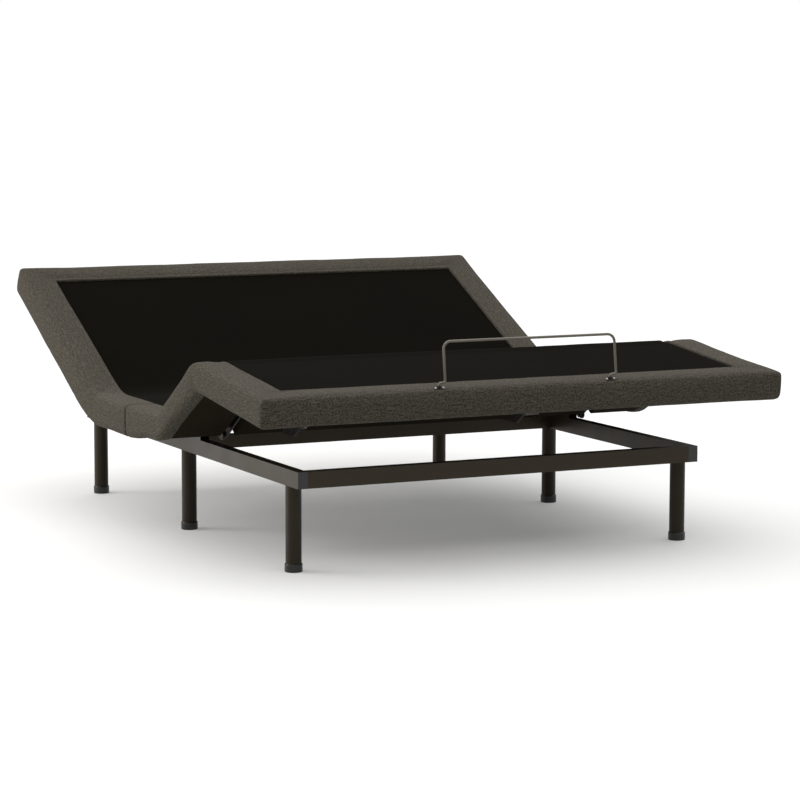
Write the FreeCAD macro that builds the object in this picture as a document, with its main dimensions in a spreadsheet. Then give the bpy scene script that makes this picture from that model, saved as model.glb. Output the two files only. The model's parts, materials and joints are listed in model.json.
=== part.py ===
import FreeCAD, Part
import math
import os
import re

import Sketcher

# An adjustable bed base. X runs across the bed, +Y towards its head end and +Z up.
# The origin is on the floor, in the middle of the bed's outline. Lengths are in millimetres.
#
# The deck has four sections, hinged in a row: head, seat, thigh and calf. Each is drawn lying
# flat in its own frame, with local Y = 0 at its hinge pin, and is then turned to its place.
# The seat is fixed to a steel frame on six legs. Two linear drives turn two torque tubes, and
# the rollers on their arms lift the head and thigh sections. Two links carry the calf section.

DIMENSIONS = [
    ("deck_width", 1524, "width over the upholstery"),
    ("head_length", 739, "head section, hinge pin to its end"),
    ("seat_length", 504, "seat section, pin to pin"),
    ("thigh_length", 320.5, "thigh section, pin to pin"),
    ("calf_length", 468.5, "calf section, knee pin to its end"),
    ("deck_depth", 78, "depth of the upholstered edge"),
    ("deck_top", 360, "height of the seat's upholstered edge"),
    ("head_angle", 26, "head section above level, degrees"),
    ("thigh_angle", 32.2, "thigh section above level, degrees"),
    ("calf_angle", 6.08, "calf section falls to the foot, degrees"),
    ("border_width", 90, "upholstered border seen from above"),
    ("edge_width", 40, "thickness of the upholstered edge"),
    ("split_place", 234, "split in the seat's upholstery, from the thigh pin"),
    ("split_gap", 4, "gap at that split"),
    ("pin_depth", 8, "hinge pin below the upholstered border's top"),
    ("panel_thickness", 15, "plywood panel"),
    ("panel_drop", 1, "panel's top below the hinge pin"),
    ("cover_thickness", 3, "black cover cloth and its felt"),
    ("valley_gap", 6, "panel's edge from a head or thigh pin"),
    ("knee_gap", 9, "panel's edge from a knee pin"),
    ("knee_mitre", 25, "mitre of the edge at the knee, degrees"),
    ("frame_width", 1193, "frame over its side rails"),
    ("frame_length", 1613, "side rail"),
    ("frame_setback", 157.8, "frame's foot end from the deck's foot end"),
    ("rail_top", 269.7, "height of the rails' top"),
    ("rail_height", 44, "side and end rails"),
    ("rail_width", 28, "all rails"),
    ("cross_height", 38, "middle and drive cross rails"),
    ("rail_wall", 2, "rails' wall"),
    ("plug_thickness", 2, "plastic plug in each open rail end"),
    ("leg_spacing", 734.5, "legs along the bed"),
    ("leg_inset", 72.3, "first and last leg from the frame's ends"),
    ("leg_track", 1155.2, "legs across the bed"),
    ("leg_diameter", 42, "leg tube"),
    ("leg_wall", 2, "leg tube's wall"),
    ("cap_diameter", 47, "foot cap"),
    ("cap_height", 22, "foot cap"),
    ("cap_floor", 4, "foot cap's floor under the leg"),
    ("stud_diameter", 10, "leg stud"),
    ("drive_rail_place", 1480, "drive cross rail's front from the deck's foot end"),
    ("tube_diameter", 25, "torque tube"),
    ("tube_height", 300, "height of both torque tubes"),
    ("head_tube_place", 1120, "head torque tube from the deck's foot end"),
    ("thigh_tube_place", 1010, "thigh torque tube from the deck's foot end"),
    ("head_arm", 450, "head lift arm, tube to roller"),
    ("thigh_arm", 440, "thigh lift arm, tube to roller"),
    ("arm_spread", 350, "lift arms from the middle of the bed"),
    ("plate_thickness", 8, "lift arm"),
    ("roller_diameter", 44, "lift roller"),
    ("roller_width", 20, "lift roller"),
    ("roller_gap", 1.6, "roller below its track at rest"),
    ("axle_diameter", 10, "roller axles and drive pins"),
    ("head_lever", 80, "head lever, tube to pin"),
    ("thigh_lever", 68, "thigh lever, tube to pin"),
    ("drive_spread", 130, "drives from the middle of the bed"),
    ("drive_rear", 1455, "drives' rear pins from the deck's foot end"),
    ("drive_height", 245, "height of the drives' rear pins"),
    ("eye_bore", 17, "rod eye, loose on its lever pin"),
    ("link_offset", 50, "calf link pin below the knee pin"),
    ("link_place", 746.3, "calf link's frame pin from the deck's foot end"),
    ("link_height", 291.2, "height of the calf link's frame pin"),
    ("bar_width", 502, "mattress retainer bar"),
    ("bar_height", 120, "mattress retainer bar above the border"),
    ("bar_diameter", 7, "mattress retainer bar"),
]
NAMES = {alias for alias, _, _ in DIMENSIONS}

DOC = FreeCAD.newDocument("AdjustableBedBase")
SHEET = DOC.addObject("Spreadsheet::Sheet", "Dimensions")
for row, (alias, number, note) in enumerate(DIMENSIONS, 1):
    SHEET.set(f"A{row}", note)
    SHEET.set(f"B{row}", str(number))
    SHEET.setAlias(f"B{row}", alias)
DOC.recompute()

X_AXIS = FreeCAD.Vector(1, 0, 0)
Z_AXIS = FreeCAD.Vector(0, 0, 1)
RUNNING_CLEARANCE = 0.1
NODES = []


# ---------------------------------------------------------------- reading and binding sizes


def size(alias):
    """The number in the sheet's cell of that name."""
    return float(SHEET.get(alias))


def formula(text):
    """text with each of the sheet's names made into a reference to its cell."""

    def reference(match):
        word = match.group()
        return f"Dimensions.{word}" if word in NAMES else word

    return re.sub(r"[a-z_]+", reference, str(text))


def bind(item, **formulas):
    """Ties properties of item to formulas in the sheet's names."""
    for name, text in formulas.items():
        item.setExpression(name, formula(text))
    return item


def node(item, label):
    """Makes item a sub-part, written to a file of that name."""
    item.Label = label
    NODES.append(item)
    return item


# ---------------------------------------------------------------- places


def turned(angle):
    """A turn about X, in degrees: it raises what points along +Y."""
    return FreeCAD.Rotation(X_AXIS, angle)


def place(x, y, z, rotation=FreeCAD.Rotation()):
    return FreeCAD.Placement(FreeCAD.Vector(x, y, z), rotation)


def across(x, y, z, angle=0):
    """Local Z runs along X, and local X along +Y raised by angle, in degrees."""
    rise = math.radians(angle)
    forward = FreeCAD.Vector(0, math.cos(rise), math.sin(rise))
    upward = FreeCAD.Vector(0, -math.sin(rise), math.cos(rise))
    return place(x, y, z, FreeCAD.Rotation(forward, upward, X_AXIS, "ZXY"))


def lengthwise(x, y, z, angle=0):
    """Local Z runs along +Y raised by angle, in degrees, and local X along X."""
    rise = math.radians(angle)
    forward = FreeCAD.Vector(0, math.cos(rise), math.sin(rise))
    upward = FreeCAD.Vector(0, -math.sin(rise), math.cos(rise))
    return place(x, y, z, FreeCAD.Rotation(X_AXIS, -upward, forward, "ZXY"))


# The hinge pins, first from the deck's foot end and then from the middle of the bed.
HEAD_RISE = math.radians(size("head_angle"))
THIGH_RISE = math.radians(size("thigh_angle"))
CALF_FALL = math.radians(size("calf_angle"))
PIN_Z = size("deck_top") - size("pin_depth")
KNEE_Z = PIN_Z + size("thigh_length") * math.sin(THIGH_RISE)
KNEE_Y = (
    size("calf_length") * math.cos(CALF_FALL) + size("pin_depth") * math.sin(CALF_FALL)
)
THIGH_Y = KNEE_Y + size("thigh_length") * math.cos(THIGH_RISE)
HEAD_Y = THIGH_Y + size("seat_length")
BELOW_PIN = size("deck_depth") - size("pin_depth")
HEAD_END_Y = (
    HEAD_Y
    + size("head_length") * math.cos(HEAD_RISE)
    + BELOW_PIN * math.sin(HEAD_RISE)
)
MIDDLE_Y = HEAD_END_Y / 2

SEAT = place(0, THIGH_Y - MIDDLE_Y, PIN_Z)
HEAD = place(0, HEAD_Y - MIDDLE_Y, PIN_Z, turned(size("head_angle")))
THIGH = place(0, THIGH_Y - MIDDLE_Y, PIN_Z, turned(-size("thigh_angle")))
CALF = place(0, KNEE_Y - MIDDLE_Y, KNEE_Z, turned(size("calf_angle")))


def from_foot(distance):
    """Y of a point at that distance from the deck's foot end."""
    return distance - MIDDLE_Y


# ---------------------------------------------------------------- basic solids


def box(name, frame, corner, length, width, height):
    """A box along frame's axes. corner is its lowest corner there, and its sizes are formulas."""
    item = DOC.addObject("Part::Box", name)
    bind(item, Length=length, Width=width, Height=height)
    item.Placement = frame.multiply(place(*corner))
    return item


def cylinder(name, frame, diameter, height):
    item = DOC.addObject("Part::Cylinder", name)
    bind(item, Radius=f"({diameter}) / 2", Height=height)
    item.Placement = frame
    return item


def cut(name, base, *tools):
    item = DOC.addObject("Part::Cut", name)
    item.Base = base
    item.Tool = tools[0] if len(tools) == 1 else group(name + "Tools", *tools)
    return item


def fuse(name, *pieces):
    item = DOC.addObject("Part::MultiFuse", name)
    item.Shapes = list(pieces)
    return item


def group(name, *pieces):
    """Separate solids in one object."""
    item = DOC.addObject("Part::Compound", name)
    item.Links = list(pieces)
    return item


def mirrored(name, source):
    """source's twin on the other side of the bed."""
    item = DOC.addObject("Part::Mirroring", name)
    item.Source = source
    item.Normal = X_AXIS
    return item


# ---------------------------------------------------------------- bodies from sketches


def new_body(name):
    return DOC.addObject("PartDesign::Body", name)


def new_sketch(body, role, name):
    """A sketch on one of the body's own origin planes."""
    sketch = body.newObject("Sketcher::SketchObject", name)
    plane = [f for f in body.Origin.OriginFeatures if f.Role == role][0]
    sketch.AttachmentSupport = [(plane, "")]
    sketch.MapMode = "FlatFace"
    return sketch


def name_constraint(sketch, constraint, name, text):
    index = sketch.addConstraint(constraint)
    sketch.renameConstraint(index, name)
    sketch.setExpression(f"Constraints.{name}", formula(text))


def draw_rectangle(sketch, prefix, width, height):
    """A rectangle about the sketch's origin, with its sizes bound to formulas."""
    corners = [(-10, -10), (10, -10), (10, 10), (-10, 10)]
    first = sketch.GeometryCount
    for i, (a, b) in enumerate(corners):
        c, d = corners[(i + 1) % 4]
        line = Part.LineSegment(FreeCAD.Vector(a, b, 0), FreeCAD.Vector(c, d, 0))
        sketch.addGeometry(line, False)
    for i in range(4):
        after = first + (i + 1) % 4
        sketch.addConstraint(Sketcher.Constraint("Coincident", first + i, 2, after, 1))
    for i in (0, 2):
        sketch.addConstraint(Sketcher.Constraint("Horizontal", first + i))
        sketch.addConstraint(Sketcher.Constraint("Vertical", first + i + 1))
    sketch.addConstraint(Sketcher.Constraint("Symmetric", first, 1, first + 1, 2, -1, 1))
    across_size = Sketcher.Constraint("DistanceX", first, 1, first, 2, 20)
    upward_size = Sketcher.Constraint("DistanceY", first + 1, 1, first + 1, 2, 20)
    name_constraint(sketch, across_size, prefix + "_width", width)
    name_constraint(sketch, upward_size, prefix + "_height", height)


def draw_circle(sketch, name, diameter):
    """A circle about the sketch's origin, with its diameter bound to a formula."""
    circle = Part.Circle(FreeCAD.Vector(0, 0, 0), Z_AXIS, 10)
    index = sketch.addGeometry(circle, False)
    sketch.addConstraint(Sketcher.Constraint("Coincident", index, 3, -1, 1))
    name_constraint(sketch, Sketcher.Constraint("Diameter", index, 20), name, diameter)


def draw_polygon(sketch, points):
    """A closed outline through the points, fixed by a constraint on each coordinate."""
    first = sketch.GeometryCount
    count = len(points)
    for i, (a, b) in enumerate(points):
        c, d = points[(i + 1) % count]
        line = Part.LineSegment(FreeCAD.Vector(a, b, 0), FreeCAD.Vector(c, d, 0))
        sketch.addGeometry(line, False)
    for i, (a, b) in enumerate(points):
        after = first + (i + 1) % count
        sketch.addConstraint(Sketcher.Constraint("Coincident", first + i, 2, after, 1))
        sketch.addConstraint(Sketcher.Constraint("DistanceX", -1, 1, first + i, 1, a))
        sketch.addConstraint(Sketcher.Constraint("DistanceY", -1, 1, first + i, 1, b))


def pad(body, sketch, name, length, reverse=False, both_ways=False):
    feature = body.newObject("PartDesign::Pad", name)
    feature.Profile = sketch
    feature.Reversed = reverse
    feature.Midplane = both_ways
    bind(feature, Length=length)
    sketch.Visibility = False
    return feature


def rectangular_tube(name, length, width, height, wall="rail_wall"):
    """Runs along local Z from the origin."""
    body = new_body(name)
    sketch = new_sketch(body, "XY_Plane", name + "Section")
    draw_rectangle(sketch, "outer", width, height)
    draw_rectangle(sketch, "inner", f"{width} - 2 * {wall}", f"{height} - 2 * {wall}")
    pad(body, sketch, name + "Pad", length)
    return body


def ring(name, outer, bore, length):
    """A round tube, bush or wheel that runs along local Z from the origin."""
    body = new_body(name)
    sketch = new_sketch(body, "XY_Plane", name + "Section")
    draw_circle(sketch, "outer", outer)
    draw_circle(sketch, "bore", bore)
    pad(body, sketch, name + "Pad", length)
    return body


def link_plate(name, x, start, end, ends, bores, thickness):
    """A flat plate round two points (y, z), from x towards +X.

    ends are the radii round the two points, and bores the diameters of the holes there, None
    where there is none.
    """
    reach = math.hypot(end[0] - start[0], end[1] - start[1])
    angle = math.degrees(math.atan2(end[1] - start[1], end[0] - start[0]))
    lean = math.acos((ends[0] - ends[1]) / reach)
    centres = (FreeCAD.Vector(0, 0, 0), FreeCAD.Vector(reach, 0, 0))
    arcs = ((lean, 2 * math.pi - lean), (-lean, lean))
    body = new_body(name)
    sketch = new_sketch(body, "XY_Plane", name + "Outline")
    for centre, radius, (first, last) in zip(centres, ends, arcs):
        circle = Part.Circle(centre, Z_AXIS, radius)
        sketch.addGeometry(Part.ArcOfCircle(circle, first, last), False)
    for side in (1, -1):
        tangent = FreeCAD.Vector(math.cos(lean), side * math.sin(lean), 0)
        edge = Part.LineSegment(centres[0] + tangent * ends[0], centres[1] + tangent * ends[1])
        sketch.addGeometry(edge, False)
    for joint in ((2, 1, 0, 1), (2, 2, 1, 2), (3, 1, 0, 2), (3, 2, 1, 1)):
        sketch.addConstraint(Sketcher.Constraint("Coincident", *joint))
    sketch.addConstraint(Sketcher.Constraint("Block", 0))
    sketch.addConstraint(Sketcher.Constraint("Block", 1))
    for centre, bore in zip(centres, bores):
        if bore:
            sketch.addGeometry(Part.Circle(centre, Z_AXIS, bore / 2), False)
            last = sketch.GeometryCount - 1
            sketch.addConstraint(Sketcher.Constraint("Block", last))
    pad(body, sketch, name + "Pad", thickness)
    body.Placement = across(x, *start, angle)
    return body


# ---------------------------------------------------------------- frame, legs and feet

RAIL_CENTRE_X = (size("frame_width") - size("rail_width")) / 2
RAIL_INNER_X = size("frame_width") / 2 - size("rail_width")
RAIL_BOTTOM = size("rail_top") - size("rail_height")
FRAME_FOOT_Y = from_foot(size("frame_setback"))
LEG_ROWS = ("foot", "middle", "head")
SIDES = (("left", -1), ("right", 1))
STUD_REACH = 20
STUD_PLUG = 15


def leg_places():
    """(name, x, y) of each leg."""
    for row, row_name in enumerate(LEG_ROWS):
        y = FRAME_FOOT_Y + size("leg_inset") + row * size("leg_spacing")
        for side_name, side in SIDES:
            yield f"{row_name}_{side_name}", side * size("leg_track") / 2, y


def side_rail(side_name, side):
    """A rectangular tube with a hole for each leg stud in its lower wall."""
    name = f"SideRail{side_name.title()}"
    tube = rectangular_tube(
        name + "Tube", "frame_length - 2 * plug_thickness", "rail_width", "rail_height"
    )
    middle = size("rail_top") - size("rail_height") / 2
    tube.Placement = lengthwise(
        side * RAIL_CENTRE_X, FRAME_FOOT_Y + size("plug_thickness"), middle
    )
    drills = []
    for leg_name, x, y in leg_places():
        if leg_name.endswith(side_name):
            hole = f"stud_diameter + {2 * RUNNING_CLEARANCE}"
            drill_place = place(x, y, RAIL_BOTTOM - size("rail_wall"))
            drills.append(cylinder(name + "Drill", drill_place, hole, "3 * rail_wall"))
    node(cut(name, tube, *drills), f"side_rail_{side_name}")


def cross_rail(label, front, height):
    """A tube between the side rails, its lower face level with theirs."""
    name = label.title().replace("_", "")
    tube = rectangular_tube(name, "frame_width - 2 * rail_width", "rail_width", height)
    centre_z = RAIL_BOTTOM + size(height) / 2
    tube.Placement = across(
        -RAIL_INNER_X, front + size("rail_width") / 2, centre_z
    )
    return tube


def rail_end_plugs():
    plugs = []
    ends = (FRAME_FOOT_Y, FRAME_FOOT_Y + size("frame_length") - size("plug_thickness"))
    for _, side in SIDES:
        for y in ends:
            x = side * RAIL_CENTRE_X - size("rail_width") / 2
            sizes = ("rail_width", "plug_thickness", "rail_height")
            plugs.append(box("RailPlug", FreeCAD.Placement(), (x, y, RAIL_BOTTOM), *sizes))
    node(group("RailPlugs", *plugs), "rail_end_plugs")


def leg(leg_name, x, y):
    tube = ring(
        "Leg" + leg_name.title().replace("_", ""),
        "leg_diameter",
        "leg_diameter - 2 * leg_wall",
        "rail_top - rail_height - cap_floor",
    )
    tube.Placement = place(x, y, size("cap_floor"))
    node(tube, f"leg_{leg_name}")


def foot_cap(x, y):
    """A plastic cup under a leg, with rounded rims."""
    body = new_body("FootCap")
    sketch = new_sketch(body, "XY_Plane", "FootCapOutline")
    draw_circle(sketch, "outer", "cap_diameter")
    solid = pad(body, sketch, "FootCapPad", "cap_height")
    DOC.recompute()
    edges = [
        f"Edge{i}"
        for i, edge in enumerate(solid.Shape.Edges, 1)
        if isinstance(edge.Curve, Part.Circle)
    ]
    rounding = body.newObject("PartDesign::Fillet", "FootCapRounding")
    rounding.Base = (solid, edges)
    rounding.Radius = 2
    socket_sketch = new_sketch(body, "XY_Plane", "FootCapSocketOutline")
    draw_circle(socket_sketch, "socket", f"leg_diameter + {2 * RUNNING_CLEARANCE}")
    bind(socket_sketch, **{"AttachmentOffset.Base.z": "cap_floor"})
    socket = body.newObject("PartDesign::Pocket", "FootCapSocket")
    socket.Profile = socket_sketch
    socket.Reversed = True
    bind(socket, Length="cap_height")
    body.Placement = place(x, y, 0)
    return body


def leg_stud(x, y):
    """The plug in a leg's top, with the stud that screws up into the rail."""
    bore = f"leg_diameter - 2 * leg_wall - {2 * RUNNING_CLEARANCE}"
    plug = cylinder("StudPlug", place(x, y, RAIL_BOTTOM - STUD_PLUG), bore, STUD_PLUG)
    stud = cylinder("Stud", place(x, y, RAIL_BOTTOM), "stud_diameter", STUD_REACH)
    return fuse("LegStud", plug, stud)


def build_frame():
    for side_name, side in SIDES:
        side_rail(side_name, side)
    end_y = FRAME_FOOT_Y + size("frame_length") - size("rail_width")
    middle_y = FRAME_FOOT_Y + size("leg_inset") + size("leg_spacing")
    node(cross_rail("foot_cross_rail", FRAME_FOOT_Y, "rail_height"), "foot_cross_rail")
    node(
        cross_rail("middle_cross_rail", middle_y - size("rail_width") / 2, "cross_height"),
        "middle_cross_rail",
    )
    node(cross_rail("head_cross_rail", end_y, "rail_height"), "head_cross_rail")
    rail_end_plugs()
    for leg_name, x, y in leg_places():
        leg(leg_name, x, y)
    caps = [foot_cap(x, y) for _, x, y in leg_places()]
    node(group("FootCaps", *caps), "leg_caps")
    studs = [leg_stud(x, y) for _, x, y in leg_places()]
    node(group("LegStuds", *studs), "leg_studs")


# ---------------------------------------------------------------- seat supports and pivots

RISER_START = 92
RISER_END = 20
SCREW_CLEARANCE = 3
SCREW_HEAD_DIAMETER = 7
SCREW_HEAD_HEIGHT = 2.5
GEARBOX_WIDTH = 108
GEARBOX_DEPTH = 56
REAR_EYE_DIAMETER = 24
FRONT_EYE_DIAMETER = 30
OUTER_TUBE_OUTSIDE = 40
OUTER_TUBE_INSIDE = 33
GUIDE_OUTSIDE = 34
ROD_OUTSIDE = 22
ROD_INSIDE = 14
ROD_END_GAP = 12
SPINDLE_DIAMETER = 10
SPINDLE_SHORTER = 30
LUG_END_RADIUS = 13
CONTROL_BOX_SIZE = (170, 95, 40)
INLET_SIZE = (24, 12, 17)
INLET_RISE = 12
BRACKET_REACH = 80
BRACKET_TIP = 8
PIVOT_PLATE = 6
BUSH_WALL = 4
BUSH_LENGTH = 12
PIVOT_MARGIN = 26
LINK_THICKNESS = 6
LINK_END_RADIUS = 9
LINK_BORE_CLEARANCE = 1.0
LINK_PLATE_REACH = (43, 14)
PANEL_UNDERSIDE = PIN_Z - size("panel_drop") - size("panel_thickness")
TUBE_Y = {
    "head": from_foot(size("head_tube_place")),
    "thigh": from_foot(size("thigh_tube_place")),
}


def seat_risers():
    """Square-ended tubes on the side rails, under the seat panel's edges."""
    risers = []
    rise = "deck_top - pin_depth - panel_drop - panel_thickness - rail_top"
    for _, side in SIDES:
        riser = rectangular_tube(
            "SeatRiser", f"seat_length - {RISER_START + RISER_END}", "rail_width", rise
        )
        middle = (size("rail_top") + PANEL_UNDERSIDE) / 2
        start = THIGH_Y - MIDDLE_Y + RISER_START
        riser.Placement = lengthwise(side * RAIL_CENTRE_X, start, middle)
        risers.append(riser)
    node(group("SeatRisers", *risers), "seat_risers")


def torque_tube_plate():
    """The plate that carries both torque tubes' bushes, on the inside of the right rail."""
    start = TUBE_Y["thigh"] - PIVOT_MARGIN
    length = TUBE_Y["head"] + PIVOT_MARGIN - start
    x = RAIL_INNER_X - PIVOT_PLATE
    height = PANEL_UNDERSIDE - 2 - RAIL_BOTTOM
    plate = box(
        "TubePlate", FreeCAD.Placement(), (x, start, RAIL_BOTTOM), PIVOT_PLATE, length, height
    )
    drills = []
    for y in TUBE_Y.values():
        drill_place = across(x - 1, y, size("tube_height"))
        bore = f"tube_diameter + {2 * (RUNNING_CLEARANCE + BUSH_WALL)}"
        drills.append(cylinder("TubePlateDrill", drill_place, bore, PIVOT_PLATE + 2))
    return cut("TubePlateDrilled", plate, *drills)


def link_pivot():
    """The plate on the inside of the right riser, with the calf link's frame pin."""
    x = RAIL_INNER_X - PIVOT_PLATE
    pin = (from_foot(size("link_place")), size("link_height"))
    root = (pin[0] + LINK_PLATE_REACH[0], pin[1] + LINK_PLATE_REACH[1])
    ends = (LINK_END_RADIUS + 3, LINK_END_RADIUS + 3)
    plate = link_plate("LinkPivotPlate", x, pin, root, ends, (None, None), PIVOT_PLATE)
    stud_length = LINK_THICKNESS + 4
    stud_place = across(x - stud_length, *pin)
    stud = cylinder("LinkPivotStud", stud_place, "axle_diameter", stud_length)
    return fuse("LinkPivot", plate, stud)


def build_supports():
    seat_risers()
    plates = [torque_tube_plate(), link_pivot()]
    twins = [mirrored(plate.Name + "Twin", plate) for plate in plates]
    node(group("PivotPlates", *plates, *twins), "pivot_plates")
    bushes = []
    for y in TUBE_Y.values():
        for _, side in SIDES:
            outer = f"tube_diameter + {2 * (RUNNING_CLEARANCE + BUSH_WALL)}"
            bore = f"tube_diameter + {2 * RUNNING_CLEARANCE}"
            bush = ring("TubeBush", outer, bore, BUSH_LENGTH)
            start = RAIL_INNER_X - BUSH_LENGTH if side > 0 else -RAIL_INNER_X
            bush.Placement = across(start, y, size("tube_height"))
            bushes.append(bush)
    node(group("TubeBushes", *bushes), "tube_bushes")


# ---------------------------------------------------------------- deck sections

# Each span is (start, end, mitre at start, mitre at end) along a section's local Y. A mitre
# cuts the end back by that many degrees below the pin, for the fold at the knee.
PANEL_TOP = -size("panel_drop")
COVER_TOP = size("pin_depth") - 4
HALF_PANEL_X = size("deck_width") / 2 - size("edge_width")
HINGE_X = (-500, 0, 500)
SLOT_CLEARANCE = 2.5


def panel(label, frame, start, end):
    """A plywood panel from start to end of its section."""
    name = label.title().replace("_", "")
    corner = (-HALF_PANEL_X, start, PANEL_TOP - size("panel_thickness"))
    sizes = ("deck_width - 2 * edge_width", end - start, "panel_thickness")
    node(box(name, frame, corner, *sizes), label)


def cover(label, frame, start, end):
    """The black cloth and felt in the middle of a section's top."""
    name = label.title().replace("_", "")
    half = size("deck_width") / 2 - size("border_width")
    corner = (-half, start, COVER_TOP - size("cover_thickness"))
    sizes = ("deck_width - 2 * border_width", end - start, "cover_thickness")
    node(box(name, frame, corner, *sizes), label)


def edge_strip(name, frame, start, end, mitres=(0, 0), flange=None):
    """The right-hand upholstered edge: a deep strip, with a flange over the panel's edge."""
    top, bottom = size("pin_depth"), -BELOW_PIN
    back = [math.tan(math.radians(mitre)) * BELOW_PIN for mitre in mitres]
    body = new_body(name)
    strip = new_sketch(body, "YZ_Plane", name + "Side")
    outline = [(start, top), (start, 0), (start + back[0], bottom)]
    outline += [(end - back[1], bottom), (end, 0), (end, top)]
    draw_polygon(strip, outline)
    pad(body, strip, name + "Strip", "edge_width")
    flange_start, flange_end = flange or (start, end)
    shelf = new_sketch(body, "YZ_Plane", name + "Shelf")
    corners = ((flange_start, PANEL_TOP), (flange_end, PANEL_TOP))
    draw_polygon(shelf, [*corners, (flange_end, top), (flange_start, top)])
    pad(body, shelf, name + "Flange", "border_width - edge_width", reverse=True)
    body.Placement = frame.multiply(place(HALF_PANEL_X, 0, 0))
    return body


def end_strip(name, frame, end, outward):
    """The upholstered edge across a section's free end, at local Y = end."""
    top, bottom = size("pin_depth"), -BELOW_PIN
    inner = end - outward * size("edge_width")
    shelf = end - outward * size("border_width")
    body = new_body(name)
    sketch = new_sketch(body, "YZ_Plane", name + "Side")
    outline = [(end, top), (end, bottom), (inner, bottom)]
    outline += [(inner, PANEL_TOP), (shelf, PANEL_TOP), (shelf, top)]
    draw_polygon(sketch, outline)
    pad(body, sketch, name + "Strip", "deck_width - 2 * edge_width", both_ways=True)
    body.Placement = frame
    return body


def pair(strip):
    return [strip, mirrored(strip.Name + "Twin", strip)]


def hinge_leaf(name, frame, x, toward, moving):
    """One leaf, on the panel on that side (toward = 1 or -1) of the pin at local Y = 0.

    The fixed leaf has two knuckles and the pin, and the moving leaf has the middle knuckle.
    """
    leaf_width, leaf_reach, leaf_thickness = 60, 40, 2
    knuckle, pin, middle = 9, 5, 24
    leaf_start = 1.5
    corner_y = leaf_start if toward > 0 else -leaf_start - leaf_reach
    leaf = box(
        name + "Leaf", frame, (x - leaf_width / 2, corner_y, PANEL_TOP),
        leaf_width, leaf_reach, leaf_thickness,
    )
    half, gap = middle / 2, 0.5
    if moving:
        spans = [(-half, half)]
    else:
        spans = [(-leaf_width / 2, -half - gap), (half + gap, leaf_width / 2)]
    barrels = []
    for low, high in spans:
        barrel_place = frame.multiply(across(x + low, 0, 0))
        barrels.append(cylinder(name + "Knuckle", barrel_place, knuckle, high - low))
    pin_place = frame.multiply(across(x - leaf_width / 2, 0, 0))
    if moving:
        solid = fuse(name + "Solid", leaf, *barrels)
        bore = pin + 2 * RUNNING_CLEARANCE
        drill = cylinder(name + "Bore", pin_place, bore, leaf_width)
        slots = []
        for side in (-1, 1):
            slot_x = x + (half + gap / 2 if side > 0 else -leaf_width / 2 - 1)
            slot_y = -1 if toward > 0 else -knuckle / 2 - gap
            corner = (slot_x, slot_y, PANEL_TOP - 1)
            slot_length = leaf_width / 2 + 1 - half - gap / 2
            sizes = (slot_length, knuckle / 2 + gap + 1, leaf_thickness + 2)
            slots.append(box(name + "Slot", frame, corner, *sizes))
        return cut(name, solid, drill, *slots)
    pin_rod = cylinder(name + "Pin", pin_place, pin, leaf_width)
    slot_y = -1 if toward > 0 else -knuckle / 2 - gap
    slot = box(
        name + "Slot", frame, (x - half - gap, slot_y, PANEL_TOP - 1),
        middle + 2 * gap, knuckle / 2 + gap + 1, leaf_thickness + 2,
    )
    return fuse(name, cut(name + "Slotted", leaf, slot), *barrels, pin_rod)


def hinge_leaves(name, frame, toward, moving):
    return [hinge_leaf(f"{name}{i}", frame, x, toward, moving) for i, x in enumerate(HINGE_X)]


def roller_tracks(label, frame, start, end):
    """A wear strip under each lift roller's path."""
    width, thickness = 36, 3
    strips = []
    for _, side in SIDES:
        centre = side * (size("arm_spread") + size("plate_thickness") / 2 + 2)
        x = centre + side * size("roller_width") / 2 - width / 2
        z = PANEL_TOP - size("panel_thickness") - thickness
        strips.append(box("Track", frame, (x, start, z), width, end - start, thickness))
    node(group(label.title().replace("_", ""), *strips), label)


def build_head_section():
    end = size("head_length")
    gap = size("valley_gap")
    border_start = end - size("border_width")
    panel("head_panel", HEAD, gap, end - size("edge_width"))
    cover("head_cover", HEAD, gap, border_start)
    strip = edge_strip("HeadEdge", HEAD, gap, end, flange=(gap, border_start))
    strips = [*pair(strip), end_strip("HeadEndEdge", HEAD, end, 1)]
    node(group("HeadFoam", *strips), "head_foam")
    node(group("HeadLeaves", *hinge_leaves("HeadLeaf", HEAD, 1, True)), "head_hinge_leaves")
    roller_tracks("head_roller_tracks", HEAD, 140, 420)


def build_seat_section():
    end = size("seat_length")
    gap = size("valley_gap")
    split = size("split_place")
    half_gap = size("split_gap") / 2
    panel("seat_panel", SEAT, gap, end - gap)
    cover("seat_cover", SEAT, gap, end - gap)
    front = edge_strip("SeatFrontEdge", SEAT, gap, split - half_gap)
    rear = edge_strip("SeatRearEdge", SEAT, split + half_gap, end - gap)
    node(group("SeatFoamFront", *pair(front)), "seat_foam_front")
    node(group("SeatFoamRear", *pair(rear)), "seat_foam_rear")
    head_line = SEAT.multiply(place(0, end, 0))
    leaves = hinge_leaves("SeatThighLeaf", SEAT, 1, False)
    leaves += hinge_leaves("SeatHeadLeaf", head_line, -1, False)
    node(group("SeatLeaves", *leaves), "seat_hinge_leaves")


def build_thigh_section():
    end = -size("thigh_length")
    gap, knee = size("valley_gap"), size("knee_gap")
    panel("thigh_panel", THIGH, end + knee, -gap)
    cover("thigh_cover", THIGH, end + gap, -gap)
    strip = edge_strip(
        "ThighEdge", THIGH, end + SLOT_CLEARANCE, -gap, mitres=(size("knee_mitre"), 0)
    )
    node(group("ThighFoam", *pair(strip)), "thigh_foam")
    knee_line = THIGH.multiply(place(0, end, 0))
    leaves = hinge_leaves("ThighSeatLeaf", THIGH, -1, True)
    leaves += hinge_leaves("ThighKneeLeaf", knee_line, 1, False)
    node(group("ThighLeaves", *leaves), "thigh_hinge_leaves")
    roller_tracks("thigh_roller_tracks", THIGH, -230, -110)


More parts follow.
